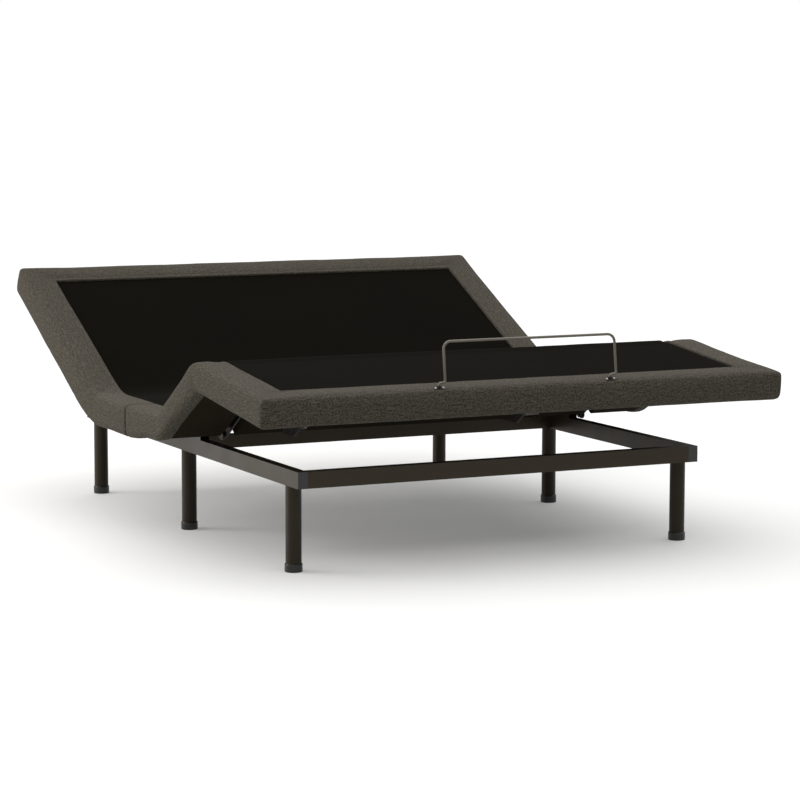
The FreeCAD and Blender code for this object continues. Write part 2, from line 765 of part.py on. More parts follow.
def build_calf_section():
    end = -size("calf_length")
    gap, knee = size("valley_gap"), size("knee_gap")
    border_end = end + size("border_width")
    panel("calf_panel", CALF, end + size("edge_width"), -knee)
    cover("calf_cover", CALF, border_end, -gap)
    strip = edge_strip(
        "CalfEdge", CALF, end, -SLOT_CLEARANCE, mitres=(0, size("knee_mitre")),
        flange=(border_end, -SLOT_CLEARANCE),
    )
    strips = [*pair(strip), end_strip("CalfEndEdge", CALF, end, -1)]
    node(group("CalfFoam", *strips), "calf_foam")
    node(group("CalfLeaves", *hinge_leaves("CalfLeaf", CALF, -1, True)), "calf_hinge_leaves")


# ---------------------------------------------------------------- mattress retainer bar

BAR_BASE = 16
BAR_CRANK = 18
BAR_CRANK_HEIGHT = 15
BAR_OFFSET = 4
BAR_SETBACK = 17
BAR_LEAN = 13
SOCKET_HEIGHT = 6


def rounded_path(corners, radii):
    """A wire through the corners, each but the first and last rounded with its radius."""
    edges = []
    start = corners[0]
    for i in range(1, len(corners) - 1):
        into = (corners[i] - corners[i - 1]).normalize()
        out = (corners[i + 1] - corners[i]).normalize()
        turn = into.getAngle(out)
        trim = radii[i - 1] * math.tan(turn / 2)
        arc_start = corners[i] - into * trim
        arc_end = corners[i] + out * trim
        inward = (out - into).normalize()
        middle = corners[i] + inward * (radii[i - 1] / math.cos(turn / 2) - radii[i - 1])
        edges.append(Part.LineSegment(start, arc_start).toShape())
        edges.append(Part.Arc(arc_start, middle, arc_end).toShape())
        start = arc_end
    edges.append(Part.LineSegment(start, corners[-1]).toShape())
    return Part.Wire(edges)


def retainer_frame():
    """Local X across the bed and local Z up the bar, on the border's top near the foot end."""
    base = place(0, -size("calf_length") + BAR_SETBACK, size("pin_depth"))
    return CALF.multiply(base).multiply(place(0, 0, 0, turned(-BAR_LEAN)))


def retainer_feet():
    """X of the bar's two lower ends, and of the two uprights above their cranks."""
    uprights = [BAR_OFFSET + side * size("bar_width") / 2 for _, side in SIDES]
    return [x - BAR_CRANK for x in uprights], uprights


def build_retainer():
    """A round bar bent to a low hoop, with its feet cranked to one side into two sockets."""
    (left_foot, right_foot), (left, right) = retainer_feet()
    foot_z, crank_z, top_z = 4, BAR_CRANK_HEIGHT, size("bar_height")
    outline = [
        (left_foot, foot_z), (left_foot, crank_z), (left, crank_z), (left, top_z),
        (right, top_z), (right, crank_z), (right_foot, crank_z), (right_foot, foot_z),
    ]
    corners = [FreeCAD.Vector(x, 0, z) for x, z in outline]
    crank_radius, corner_radius = 6, 20
    radii = [crank_radius, crank_radius, corner_radius, corner_radius]
    radii += [crank_radius, crank_radius]
    path = rounded_path(corners, radii)
    round_section = Part.makeCircle(size("bar_diameter") / 2, corners[0], Z_AXIS)
    bar = DOC.addObject("Part::Feature", "RetainerBar")
    bar.Shape = path.makePipeShell([Part.Wire([round_section])], True, False)
    bar.Placement = retainer_frame()
    node(bar, "retainer_bar")

    plate_size, plate_thickness, screw_spread = (30, 18), 2, 8
    brackets, screws = [], []
    deck = CALF.multiply(place(0, -size("calf_length") + BAR_SETBACK, size("pin_depth")))
    for x in (left_foot, right_foot):
        corner = (x - plate_size[0] / 2, -plate_size[1] / 2, 0)
        plate = box("RetainerPlate", deck, corner, *plate_size, plate_thickness)
        socket_place = retainer_frame().multiply(place(x, 0, plate_thickness))
        socket = cylinder("RetainerSocket", socket_place, "bar_diameter + 5", SOCKET_HEIGHT)
        bore_place = retainer_frame().multiply(place(x, 0, foot_z))
        bore = f"bar_diameter + {2 * RUNNING_CLEARANCE}"
        drill = cylinder("RetainerBore", bore_place, bore, BAR_BASE)
        welded = fuse("RetainerWelded", plate, socket)
        brackets.append(cut("RetainerBracket", welded, drill))
        for side in (-1, 1):
            head_place = deck.multiply(place(x + side * (screw_spread + SCREW_CLEARANCE), 0, plate_thickness))
            screws.append(
                cylinder("RetainerScrew", head_place, SCREW_HEAD_DIAMETER, SCREW_HEAD_HEIGHT)
            )
    node(group("RetainerBrackets", *brackets), "retainer_brackets")
    node(group("RetainerScrews", *screws), "retainer_screws")


# ---------------------------------------------------------------- lift arms and rollers

PANEL_BELOW_PIN = size("panel_drop") + size("panel_thickness")
TRACK_THICKNESS = 3
ROLLER_DROP = (
    PANEL_BELOW_PIN + TRACK_THICKNESS + size("roller_gap") + size("roller_diameter") / 2
)
LIFT_SIDE = {"head": 1, "thigh": -1}
ELBOW = {"head": (149, 36.3), "thigh": (264.4, 15.4)}
LEVER_ANGLE = {"head": -92.85, "thigh": -92}
FORK_GAP = 24
LEVER_THICKNESS = 6
PIN_OVERHANG = 3
HEAD_EYE_OFFSET = 2.75


def arm_angle(lift, rise, pin_y, reach):
    """Angle above +Y, in degrees, of an arm whose roller is just under a section's track.

    rise is the section's angle above level, and lift is 1 for the head side and -1 for the
    thigh side, which rises towards the foot.
    """
    along = (lift * math.cos(rise), math.sin(rise))
    under = (lift * math.sin(rise), -math.cos(rise))
    start_y = pin_y + ROLLER_DROP * under[0] - size(f"{reach}_tube_place")
    start_z = PIN_Z + ROLLER_DROP * under[1] - size("tube_height")
    middle = start_y * along[0] + start_z * along[1]
    spare = start_y**2 + start_z**2 - size(f"{reach}_arm") ** 2
    distance = -middle + math.sqrt(middle**2 - spare)
    roller_y = start_y + distance * along[0]
    roller_z = start_z + distance * along[1]
    return math.degrees(math.atan2(roller_z, roller_y))


ARM_ANGLE = {
    "head": arm_angle(1, HEAD_RISE, HEAD_Y, "head"),
    "thigh": arm_angle(-1, THIGH_RISE, THIGH_Y, "thigh"),
}
DRIVE_X = {"head": size("drive_spread"), "thigh": -size("drive_spread")}


def swung(name, reach, angle):
    """(y, z) at that reach and angle from a torque tube."""
    turn = math.radians(angle)
    y = TUBE_Y[name] + reach * math.cos(turn)
    return y, size("tube_height") + reach * math.sin(turn)


def torque_tube(which):
    tube = ring(
        f"{which.title()}TorqueTube", "tube_diameter", "tube_diameter - 5",
        "frame_width - 2 * rail_width - 4",
    )
    tube.Placement = across(2 - RAIL_INNER_X, TUBE_Y[which], size("tube_height"))
    node(tube, f"{which}_torque_tube")


def lift_arms(which):
    """A cranked arm each side, welded round the torque tube, with a stub axle for its roller.

    The crank keeps each arm under the seat panel and the hinges, up to the section's limit.
    """
    reach, angle = size(f"{which}_arm"), ARM_ANGLE[which]
    elbow_reach, dip = ELBOW[which]
    thickness = size("plate_thickness")
    hub_radius, elbow_radius, tip_radius, axle_head = 18, 12, 11, 4
    x = size("arm_spread") - thickness / 2
    hub = swung(which, 0, 0)
    elbow = swung(which, elbow_reach, angle - LIFT_SIDE[which] * dip)
    tip = swung(which, reach, angle)
    title = which.title()
    bores = (size("tube_diameter"), None)
    ends = (hub_radius, elbow_radius)
    inner = link_plate(f"{title}ArmRoot", x, hub, elbow, ends, bores, thickness)
    ends = (elbow_radius, tip_radius)
    outer = link_plate(f"{title}ArmTip", x, elbow, tip, ends, (None, None), thickness)
    axle_length = size("roller_width") + 4
    axle = cylinder(f"{title}Axle", across(x + thickness, *tip), "axle_diameter", axle_length)
    head_place = across(x + thickness + axle_length, *tip)
    head = cylinder(f"{title}AxleHead", head_place, 18, axle_head)
    arm = fuse(f"{title}Arm", inner, outer, axle, head)
    node(group(f"{title}Arms", *pair(arm)), f"{which}_lift_arms")


def lift_rollers(which):
    y, z = swung(which, size(f"{which}_arm"), ARM_ANGLE[which])
    bore = f"axle_diameter + {2 * RUNNING_CLEARANCE}"
    wheel = ring(f"{which.title()}Roller", "roller_diameter", bore, "roller_width")
    x = size("arm_spread") + size("plate_thickness") / 2 + 2
    wheel.Placement = across(x, y, z)
    node(group(f"{which.title()}Rollers", *pair(wheel)), f"{which}_rollers")


def lever(which):
    """Two plates welded round the torque tube, with the pin that the drive's rod turns on."""
    title = which.title()
    hub = swung(which, 0, 0)
    tip = swung(which, size(f"{which}_lever"), LEVER_ANGLE[which])
    bores = (size("tube_diameter"), size("axle_diameter"))
    solids = []
    for low in (-FORK_GAP / 2 - LEVER_THICKNESS, FORK_GAP / 2):
        x = DRIVE_X[which] + low
        name = f"{title}LeverPlate"
        solids.append(link_plate(name, x, hub, tip, (18, 10), bores, LEVER_THICKNESS))
    half = FORK_GAP / 2 + LEVER_THICKNESS + PIN_OVERHANG
    pin_place = across(DRIVE_X[which] - half, *tip)
    solids.append(cylinder(f"{title}LeverPin", pin_place, "axle_diameter", 2 * half))
    node(group(f"{title}Lever", *solids), f"{which}_lever")


# ---------------------------------------------------------------- drives

EYE_THICKNESS = 22
GEARBOX_START = 22
GEARBOX_LENGTH = 70
MOTOR_X = 52
MOTOR_DIAMETER = 52
MOTOR_LENGTH = 95
GUIDE_LENGTH = 14
DRIVE_TUBE_LENGTH = {"head": 165, "thigh": 190}
ROD_TAIL = {"head": 152, "thigh": 190}


def drive_line(which):
    """The rear pin's place, the drive's angle above +Y, and the distance between its pins."""
    y, z = swung(which, size(f"{which}_lever"), LEVER_ANGLE[which])
    if which == "head":
        z += HEAD_EYE_OFFSET
    rear = (from_foot(size("drive_rear")), size("drive_height"))
    reach = math.hypot(y - rear[0], z - rear[1])
    return rear, math.degrees(math.atan2(z - rear[1], y - rear[0])), reach


def along_drive(which, distance, x=0.0):
    """Local Z runs along the drive, from that distance before its rear pin."""
    rear, angle, _ = drive_line(which)
    turn = math.radians(angle)
    y = rear[0] + distance * math.cos(turn)
    z = rear[1] + distance * math.sin(turn)
    return lengthwise(DRIVE_X[which] + x, y, z, angle)


def drive(which):
    title = which.title()
    rear, angle, reach = drive_line(which)
    tube_start = GEARBOX_START + GEARBOX_LENGTH
    tube_length = DRIVE_TUBE_LENGTH[which]
    half = EYE_THICKNESS / 2

    # The gearbox has a rear eye, and the outer tube with its front guide ring.
    gear_frame = along_drive(which, GEARBOX_START)
    half_depth = GEARBOX_DEPTH / 2
    case_size = (GEARBOX_WIDTH, GEARBOX_DEPTH, GEARBOX_LENGTH)
    case = box(f"{title}Case", gear_frame, (-half_depth, -half_depth, 0), *case_size)
    neck_frame = along_drive(which, 0)
    neck_size = (EYE_THICKNESS, REAR_EYE_DIAMETER, GEARBOX_START)
    neck = box(f"{title}Neck", neck_frame, (-half, -REAR_EYE_DIAMETER / 2, 0), *neck_size)
    eye_place = across(DRIVE_X[which] - half, *rear)
    eye = cylinder(f"{title}RearEye", eye_place, REAR_EYE_DIAMETER, EYE_THICKNESS)
    pin_bore = f"axle_diameter + {2 * RUNNING_CLEARANCE}"
    drill_place = across(DRIVE_X[which] - half - 1, *rear)
    drill = cylinder(f"{title}RearBore", drill_place, pin_bore, EYE_THICKNESS + 2)
    tube = ring(f"{title}OuterTube", OUTER_TUBE_OUTSIDE, OUTER_TUBE_INSIDE, tube_length)
    tube.Placement = along_drive(which, tube_start)
    guide_bore = ROD_OUTSIDE + 2 * RUNNING_CLEARANCE
    guide = ring(f"{title}Guide", GUIDE_OUTSIDE, guide_bore, GUIDE_LENGTH)
    guide.Placement = along_drive(which, tube_start + tube_length - GUIDE_LENGTH)
    housing = fuse(f"{title}HousingSolid", case, neck, eye, tube, guide)
    node(cut(f"{title}Housing", housing, drill), f"{which}_drive_housing")

    motor = cylinder(
        f"{title}Motor", along_drive(which, tube_start, MOTOR_X), MOTOR_DIAMETER, MOTOR_LENGTH
    )
    node(motor, f"{which}_drive_motor")

    spindle_length = tube_length - SPINDLE_SHORTER
    spindle_place = along_drive(which, tube_start)
    spindle = cylinder(f"{title}Spindle", spindle_place, SPINDLE_DIAMETER, spindle_length)
    node(spindle, f"{which}_drive_spindle")

    rod_length = ROD_TAIL[which]
    rod = ring(f"{title}RodTube", ROD_OUTSIDE, ROD_INSIDE, rod_length - ROD_END_GAP)
    rod.Placement = along_drive(which, reach - rod_length)
    turn = math.radians(angle)
    front = (rear[0] + reach * math.cos(turn), rear[1] + reach * math.sin(turn))
    boss_place = across(DRIVE_X[which] - half, *front)
    boss = cylinder(f"{title}FrontEye", boss_place, FRONT_EYE_DIAMETER, EYE_THICKNESS)
    bore_place = across(DRIVE_X[which] - half - 1, *front)
    bore = cylinder(f"{title}FrontBore", bore_place, "eye_bore", EYE_THICKNESS + 2)
    solid = fuse(f"{title}RodSolid", rod, boss)
    node(cut(f"{title}Rod", solid, bore), f"{which}_drive_rod")


def build_drive_mount():
    """The cross rail that the drives push against, with a pair of lugs for each."""
    front = from_foot(size("drive_rail_place"))
    pieces = [cross_rail("drive_rail_tube", front, "cross_height")]
    pins = []
    pin = (from_foot(size("drive_rear")), size("drive_height"))
    root = (front, pin[1])
    bores = (size("axle_diameter"), None)
    for x in DRIVE_X.values():
        for low in (-FORK_GAP / 2 - LEVER_THICKNESS, FORK_GAP / 2):
            ends = (LUG_END_RADIUS, LUG_END_RADIUS)
            pieces.append(
                link_plate("DriveLug", x + low, pin, root, ends, bores, LEVER_THICKNESS)
            )
        half = FORK_GAP / 2 + LEVER_THICKNESS + PIN_OVERHANG
        pins.append(cylinder("DrivePin", across(x - half, *pin), "axle_diameter", 2 * half))
    welded = fuse("DriveRailWelded", *pieces)
    bore_place = across(
        -RAIL_INNER_X, front + size("rail_width") / 2, RAIL_BOTTOM + size("cross_height") / 2
    )
    inside = ("rail_width - 2 * rail_wall", "cross_height - 2 * rail_wall")
    hollow = box(
        "DriveRailHollow", bore_place,
        (-size("rail_width") / 2 + size("rail_wall"),
         -size("cross_height") / 2 + size("rail_wall"), 0),
        *inside, "frame_width - 2 * rail_width",
    )
    node(cut("DriveRail", welded, hollow), "drive_cross_rail")
    node(group("DrivePins", *pins), "drive_pins")


def build_control_box():
    """The box that feeds the drives, behind their cross rail, with the mains inlet's recess."""
    front = from_foot(size("drive_rail_place")) + size("rail_width")
    length, width, _ = CONTROL_BOX_SIZE
    case_corner = (-length / 2, front, RAIL_BOTTOM)
    case = box("ControlCase", FreeCAD.Placement(), case_corner, *CONTROL_BOX_SIZE)
    inlet_width, inlet_depth, inlet_height = INLET_SIZE
    corner = (-inlet_width / 2, front + width - inlet_depth, RAIL_BOTTOM + INLET_RISE)
    inlet_size = (inlet_width, inlet_depth + 1, inlet_height)
    inlet = box("Inlet", FreeCAD.Placement(), corner, *inlet_size)
    node(cut("ControlBox", case, inlet), "control_box")


# ---------------------------------------------------------------- calf links


def build_calf_links():
    """A link each side keeps the calf section nearly level as the thigh section rises."""
    start = (from_foot(size("link_place")), size("link_height"))
    drop = size("link_offset")
    knee = CALF.multVec(FreeCAD.Vector(0, 0, -drop))
    bore = size("axle_diameter")
    bores = (bore + 2 * RUNNING_CLEARANCE, bore + 2 * LINK_BORE_CLEARANCE)
    ends = (LINK_END_RADIUS, LINK_END_RADIUS)
    x = RAIL_INNER_X - PIVOT_PLATE - LINK_THICKNESS - 2
    link = link_plate("CalfLink", x, start, (knee.y, knee.z), ends, bores, LINK_THICKNESS)
    node(group("CalfLinks", *pair(link)), "calf_links")

    plate_x = x - PIVOT_PLATE - 1
    under = -size("panel_drop") - size("panel_thickness")
    body = new_body("LinkBracketPlate")
    sketch = new_sketch(body, "YZ_Plane", "LinkBracketSide")
    tip = BRACKET_TIP
    outline = [(-BRACKET_REACH, under), (-BRACKET_REACH, under - tip)]
    outline += [(-tip, -drop - tip), (tip, -drop - tip)]
    outline += [(tip, -drop + tip), (-2 * tip, under)]
    draw_polygon(sketch, outline)
    pad(body, sketch, "LinkBracketPad", PIVOT_PLATE)
    body.Placement = CALF.multiply(place(plate_x, 0, 0))
    stud_place = CALF.multiply(across(plate_x + PIVOT_PLATE, 0, -drop))
    stud = cylinder("LinkStud", stud_place, "axle_diameter", LINK_THICKNESS + 3)
    bracket = fuse("LinkBracket", body, stud)
    node(group("LinkBrackets", *pair(bracket)), "calf_link_brackets")


# ---------------------------------------------------------------- building and writing


def check(item):
    for word in ("Invalid", "Error"):
        if word in item.State:
            raise RuntimeError(f"{item.Label} is {word}")


def main():
    build_frame()
    build_supports()
    build_seat_section()
    build_head_section()
    build_thigh_section()
    build_calf_section()
    build_retainer()
    build_drive_mount()
    build_control_box()
    build_calf_links()
    for which in ("head", "thigh"):
        torque_tube(which)
        lift_arms(which)
        lever(which)
        lift_rollers(which)
        drive(which)
    DOC.recompute()
    for item in DOC.Objects:
        check(item)
    for item in NODES:
        if item.Shape.isNull() or not item.Shape.isValid():
            raise RuntimeError(f"{item.Label} has no valid shape")
    os.makedirs("parts", exist_ok=True)
    for item in NODES:
        item.Shape.exportStep(f"parts/{item.Label}.step")
        solids = len(item.Shape.Solids)
        print(f"{item.Label}: {solids} solids, {item.Shape.Volume / 1000:.0f} cm3")
    print(f"{len(NODES)} sub-parts, the middle of the bed is {MIDDLE_Y:.2f} from its foot end")


main()
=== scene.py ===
import json
import math

import bmesh
import bpy
import numpy as np
from mathutils import Matrix, Vector, noise


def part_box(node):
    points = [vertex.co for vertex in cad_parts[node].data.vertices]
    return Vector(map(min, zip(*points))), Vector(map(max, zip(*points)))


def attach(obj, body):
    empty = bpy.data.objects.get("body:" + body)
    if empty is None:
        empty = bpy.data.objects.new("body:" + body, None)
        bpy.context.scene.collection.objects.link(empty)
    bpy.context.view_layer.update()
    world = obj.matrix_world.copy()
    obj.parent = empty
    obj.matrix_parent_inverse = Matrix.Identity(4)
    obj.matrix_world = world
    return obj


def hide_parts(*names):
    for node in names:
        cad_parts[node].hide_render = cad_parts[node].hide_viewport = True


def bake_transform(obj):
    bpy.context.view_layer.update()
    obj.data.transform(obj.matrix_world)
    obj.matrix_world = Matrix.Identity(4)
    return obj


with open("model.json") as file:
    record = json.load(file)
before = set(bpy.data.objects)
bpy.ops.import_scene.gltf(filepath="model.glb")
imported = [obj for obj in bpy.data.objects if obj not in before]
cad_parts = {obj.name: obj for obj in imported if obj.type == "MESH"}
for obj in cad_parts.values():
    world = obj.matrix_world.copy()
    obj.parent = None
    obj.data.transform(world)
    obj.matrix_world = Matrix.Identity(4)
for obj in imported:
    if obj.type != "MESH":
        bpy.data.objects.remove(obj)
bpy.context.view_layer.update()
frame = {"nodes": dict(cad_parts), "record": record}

# ---------------------------------------------------------------- camera

LENS = 124.608
CAMERA_PLACE = Vector((-3.4007, -7.2148, 1.3004))
CAMERA_YAW, CAMERA_PITCH, CAMERA_ROLL = 0.4499, -0.1202, 0.0022


def make_camera():
    """A long lens at eye height, off the foot end's left corner, looking slightly down."""
    forward = Vector((
        math.sin(CAMERA_YAW) * math.cos(CAMERA_PITCH),
        math.cos(CAMERA_YAW) * math.cos(CAMERA_PITCH),
        math.sin(CAMERA_PITCH),
    ))
    level = Vector((math.cos(CAMERA_YAW), -math.sin(CAMERA_YAW), 0))
    upright = level.cross(forward)
    right = level * math.cos(CAMERA_ROLL) + upright * math.sin(CAMERA_ROLL)
    up = upright * math.cos(CAMERA_ROLL) - level * math.sin(CAMERA_ROLL)
    data = bpy.data.cameras.new("camera")
    data.lens = LENS
    data.clip_end = 100
    camera = bpy.data.objects.new("camera", data)
    turned = Matrix((right, up, -forward)).transposed().to_4x4()
    camera.matrix_world = Matrix.Translation(CAMERA_PLACE) @ turned
    bpy.context.collection.objects.link(camera)
    bpy.context.scene.camera = camera


make_camera()

# ---------------------------------------------------------------- sizes, in metres, from the frame

MM = 0.001
joints = {joint["name"]: joint for joint in frame["record"]["behaviour"]["joints"]}


def hinge(name):
    """A deck hinge's axis, as (y, z)."""
    _, y, z = joints[name]["pos_m"]
    return Vector((y, z))


THIGH_HINGE = hinge("thigh_hinge")
HEAD_HINGE = hinge("head_hinge")
KNEE_HINGE = hinge("knee_hinge")
HEAD_ANGLE = math.radians(-joints["head_hinge"]["range_deg"][0])
CALF_ANGLE = math.radians(6.08)
HEAD_LENGTH = 739 * MM
CALF_LENGTH = 468.5 * MM
SPLIT_PLACE = 234 * MM

DECK_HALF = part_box("head_foam")[1].x
PANEL_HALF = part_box("head_cover")[1].x
BORDER = DECK_HALF - PANEL_HALF
SEAT_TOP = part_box("seat_foam_front")[1].z
SKIRT = SEAT_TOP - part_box("seat_foam_front")[0].z
PIN_DEPTH = SEAT_TOP - THIGH_HINGE.y
WALL = DECK_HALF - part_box("head_panel")[1].x
COVER_DROP = 4 * MM
COVER_THICKNESS = 3 * MM
SPLIT_GAP = 4 * MM

KNEE_RADIUS = 100 * MM
THIGH_RADIUS = 55 * MM
HEAD_RADIUS = 215 * MM

# ---------------------------------------------------------------- the deck's surface


class Outline:
    """The border's top line from the foot end to the head end, straight runs joined by arcs."""

    def __init__(self, corners, radii):
        self.pieces = []
        self.corner_at = []
        self.length = 0.0
        start = corners[0]
        for before, corner, after, radius in zip(corners, corners[1:], corners[2:], radii):
            way_in = (corner - before).normalized()
            way_out = (after - corner).normalized()
            turn = way_in.angle_signed(way_out) * -1
            reach = radius * math.tan(abs(turn) / 2)
            self.add_run(start, corner - way_in * reach)
            self.corner_at.append(self.length + radius * abs(turn) / 2)
            self.add_arc(corner - way_in * reach, way_in, turn, radius)
            start = corner + way_out * reach
        self.add_run(start, corners[-1])

    def add_run(self, start, end):
        along = end - start
        self.pieces.append((self.length, along.length, start.copy(), math.atan2(along.y, along.x), 0.0))
        self.length += along.length

    def add_arc(self, start, way, turn, radius):
        length = radius * abs(turn)
        self.pieces.append((self.length, length, start.copy(), math.atan2(way.y, way.x), turn / length))
        self.length += length

    def at(self, distance):
        """The point at a distance along the line, as (y, z), and the line's slope there."""
        piece = self.pieces[0]
        for candidate in self.pieces:
            if distance >= candidate[0]:
                piece = candidate
        begins, _, start, slope, curvature = piece
        along = distance - begins
        if curvature == 0:
            return start + along * Vector((math.cos(slope), math.sin(slope))), slope
        bent = slope + curvature * along
        y = (math.sin(bent) - math.sin(slope)) / curvature
        z = (math.cos(slope) - math.cos(bent)) / curvature
        return start + Vector((y, z)), bent


def raised_corner(pin, slope_before, slope_after):
    """Where the top lines of two sections meet above the pin of their hinge, as (y, z)."""
    middle = (slope_before + slope_after) / 2
    rise = PIN_DEPTH / math.cos((slope_after - slope_before) / 2)
    return pin + rise * Vector((-math.sin(middle), math.cos(middle)))


def raised(point, slope):
    """The point of a section's top line square above a point of its pins' line."""
    return point + PIN_DEPTH * Vector((-math.sin(slope), math.cos(slope)))


thigh_way = THIGH_HINGE - KNEE_HINGE
THIGH_SLOPE = math.atan2(thigh_way.y, thigh_way.x)
calf_way = Vector((math.cos(CALF_ANGLE), math.sin(CALF_ANGLE)))
head_way = Vector((math.cos(HEAD_ANGLE), math.sin(HEAD_ANGLE)))
outline = Outline(
    [
        raised(KNEE_HINGE - CALF_LENGTH * calf_way, CALF_ANGLE),
        raised_corner(KNEE_HINGE, CALF_ANGLE, THIGH_SLOPE),
        raised_corner(THIGH_HINGE, THIGH_SLOPE, 0),
        raised_corner(HEAD_HINGE, 0, HEAD_ANGLE),
        raised(HEAD_HINGE + HEAD_LENGTH * head_way, HEAD_ANGLE),
    ],
    [KNEE_RADIUS, THIGH_RADIUS, HEAD_RADIUS],
)
KNEE_AT, THIGH_AT, HEAD_AT = outline.corner_at
SPLIT_AT = THIGH_AT + SPLIT_PLACE
MID_THIGH_AT = (KNEE_AT + THIGH_AT) / 2

# How much deeper the skirt hangs than at the foot, against the distance from the foot end.
EXTRA_DEPTH = [
    (0.0, 0.0),
    (KNEE_AT, 0.0),
    (THIGH_AT - 40 * MM, -8 * MM),
    (THIGH_AT + 30 * MM, -6 * MM),
    (SPLIT_AT, 11 * MM),
    (HEAD_AT, 11 * MM),
    (HEAD_AT + 120 * MM, 18 * MM),
    (outline.length, 11 * MM),
]


def skirt_scale(along):
    """How deep the skirt hangs, as a share of its depth at the foot."""
    for (start, first), (end, last) in zip(EXTRA_DEPTH, EXTRA_DEPTH[1:]):
        if along <= end or end == outline.length:
            share = min(1, max(0, (along - start) / (end - start)))
            share = share * share * (3 - 2 * share)
            return 1 + (first + (last - first) * share) / SKIRT


def on_deck(along, across, height):
    """The point of the deck at a distance from the foot end, across the bed and above the border's top."""
    point, slope = outline.at(along)
    return Vector((across, point.x - height * math.sin(slope), point.y + height * math.cos(slope)))


def steps(start, end, spacing):
    """Evenly spaced values from start to end, both included."""
    count = max(1, round(abs(end - start) / spacing))
    return [start + (end - start) * i / count for i in range(count + 1)]


# ---------------------------------------------------------------- upholstered border

CLOTH_STEP = 8 * MM
CORNER_STEP = 3.5 * MM
INNER_CORNER = 6 * MM
CORNER_SQUARENESS = 22
END_ROUNDING = 8 * MM
END_SHARES = (0, 0.15, 0.5)
CALM_REACH = 150 * MM
LEAST_LOOSE = 0.12
CORNER_SPAN = 16 * MM
CORNER_TOLERANCE = 6 * MM

# The border's section, as (distance out from its inner edge, height above its top). It starts under
# the inner edge, crosses the crown, goes down the outer face and returns up the inside of the skirt.
BORDER_SECTION_MM = [
    (3, -8.6), (0.6, -7), (0, -4.5), (0.4, -1.8), (2, 0.2), (4.5, 1.2), (8, 1.1), (12, 0.3), (17, 0.3),
    (25, 1), (34, 1.5), (43, 1.8), (52, 1.9), (61, 1.7), (69, 1.5), (76, 1.2), (82, 0.5), (87.5, -1.6),
    (91, -5.2), (92.2, -10.5), (92.5, -18), (92.7, -26), (92.9, -34), (93, -42), (92.9, -50),
    (92.7, -58), (92.2, -64.5), (90.6, -70.4), (87.4, -75), (82.5, -78), (76, -79.2), (68, -79.2),
    (59, -78.4), (53.5, -76.5), (51, -72), (50.6, -60), (50.6, -46), (50.6, -32), (50.6, -18),
    (49.5, -10.4), (44, -9), (32, -8.8), (18, -8.8),
]
SECTION_MIDDLE = (60 * MM, -25 * MM)
FIRST_SHOWN, LAST_SHOWN = 8, 33


def side_stations(start, end, side):
    """Plan stations along one side: pairs of (along, across) on the border's inner and outer edge."""
    way = 1 if end > start else -1
    marks = [start + way * share * END_ROUNDING for share in END_SHARES]
    marks += steps(start + way * END_ROUNDING, end, CLOTH_STEP)
    return [((along, side * PANEL_HALF), (along, side * DECK_HALF)) for along in marks]


def corner_stations(end, way, side):
    """Plan stations round one corner, as rays from a centre just inside the border's inner corner."""
    reach = BORDER + INNER_CORNER
    centre = (end - way * reach, side * (DECK_HALF - reach))
    walked = steps(0, reach - CORNER_SPAN, CLOTH_STEP)[1:]
    walked += steps(reach - CORNER_SPAN, reach, CORNER_STEP)[1:]
    angles = [math.atan2(step, reach) for step in walked]
    angles += [math.pi / 2 - angle for angle in reversed(angles[:-1])]
    stations = []
    for angle in angles:
        out, on = math.cos(angle), math.sin(angle)
        far = reach / (out**CORNER_SQUARENESS + on**CORNER_SQUARENESS) ** (1 / CORNER_SQUARENESS)
        stations.append(tuple(
            (centre[0] + way * on * radius, centre[1] + side * out * radius)
            for radius in (INNER_CORNER, far)
        ))
    return stations


def horseshoe(split, end):
    """Plan stations of half the border, from the split down the left side, across the end and back."""
    way = 1 if end > split else -1
    corner_start = end - way * (BORDER + INNER_CORNER)
    sides = {side: side_stations(split, corner_start, side) for side in (-1, 1)}
    corners = {side: corner_stations(end, way, side) for side in (-1, 1)}
    half = PANEL_HALF - INNER_CORNER
    across = steps(-half, half, CLOTH_STEP)
    strip = [((end - way * BORDER, x), (end, x)) for x in across]
    return sides[-1] + corners[-1] + strip + corners[1][::-1] + sides[1][::-1]


def shrunk(section, amount):
    """The border's section drawn in by an amount, for its rounded ends."""
    middle_u, middle_w = SECTION_MIDDLE
    drawn = []
    for u, w in section:
        du, dw = middle_u - u, middle_w - w
        length = math.hypot(du, dw)
        drawn.append((u + du / length * amount, w + dw / length * amount))
    return drawn


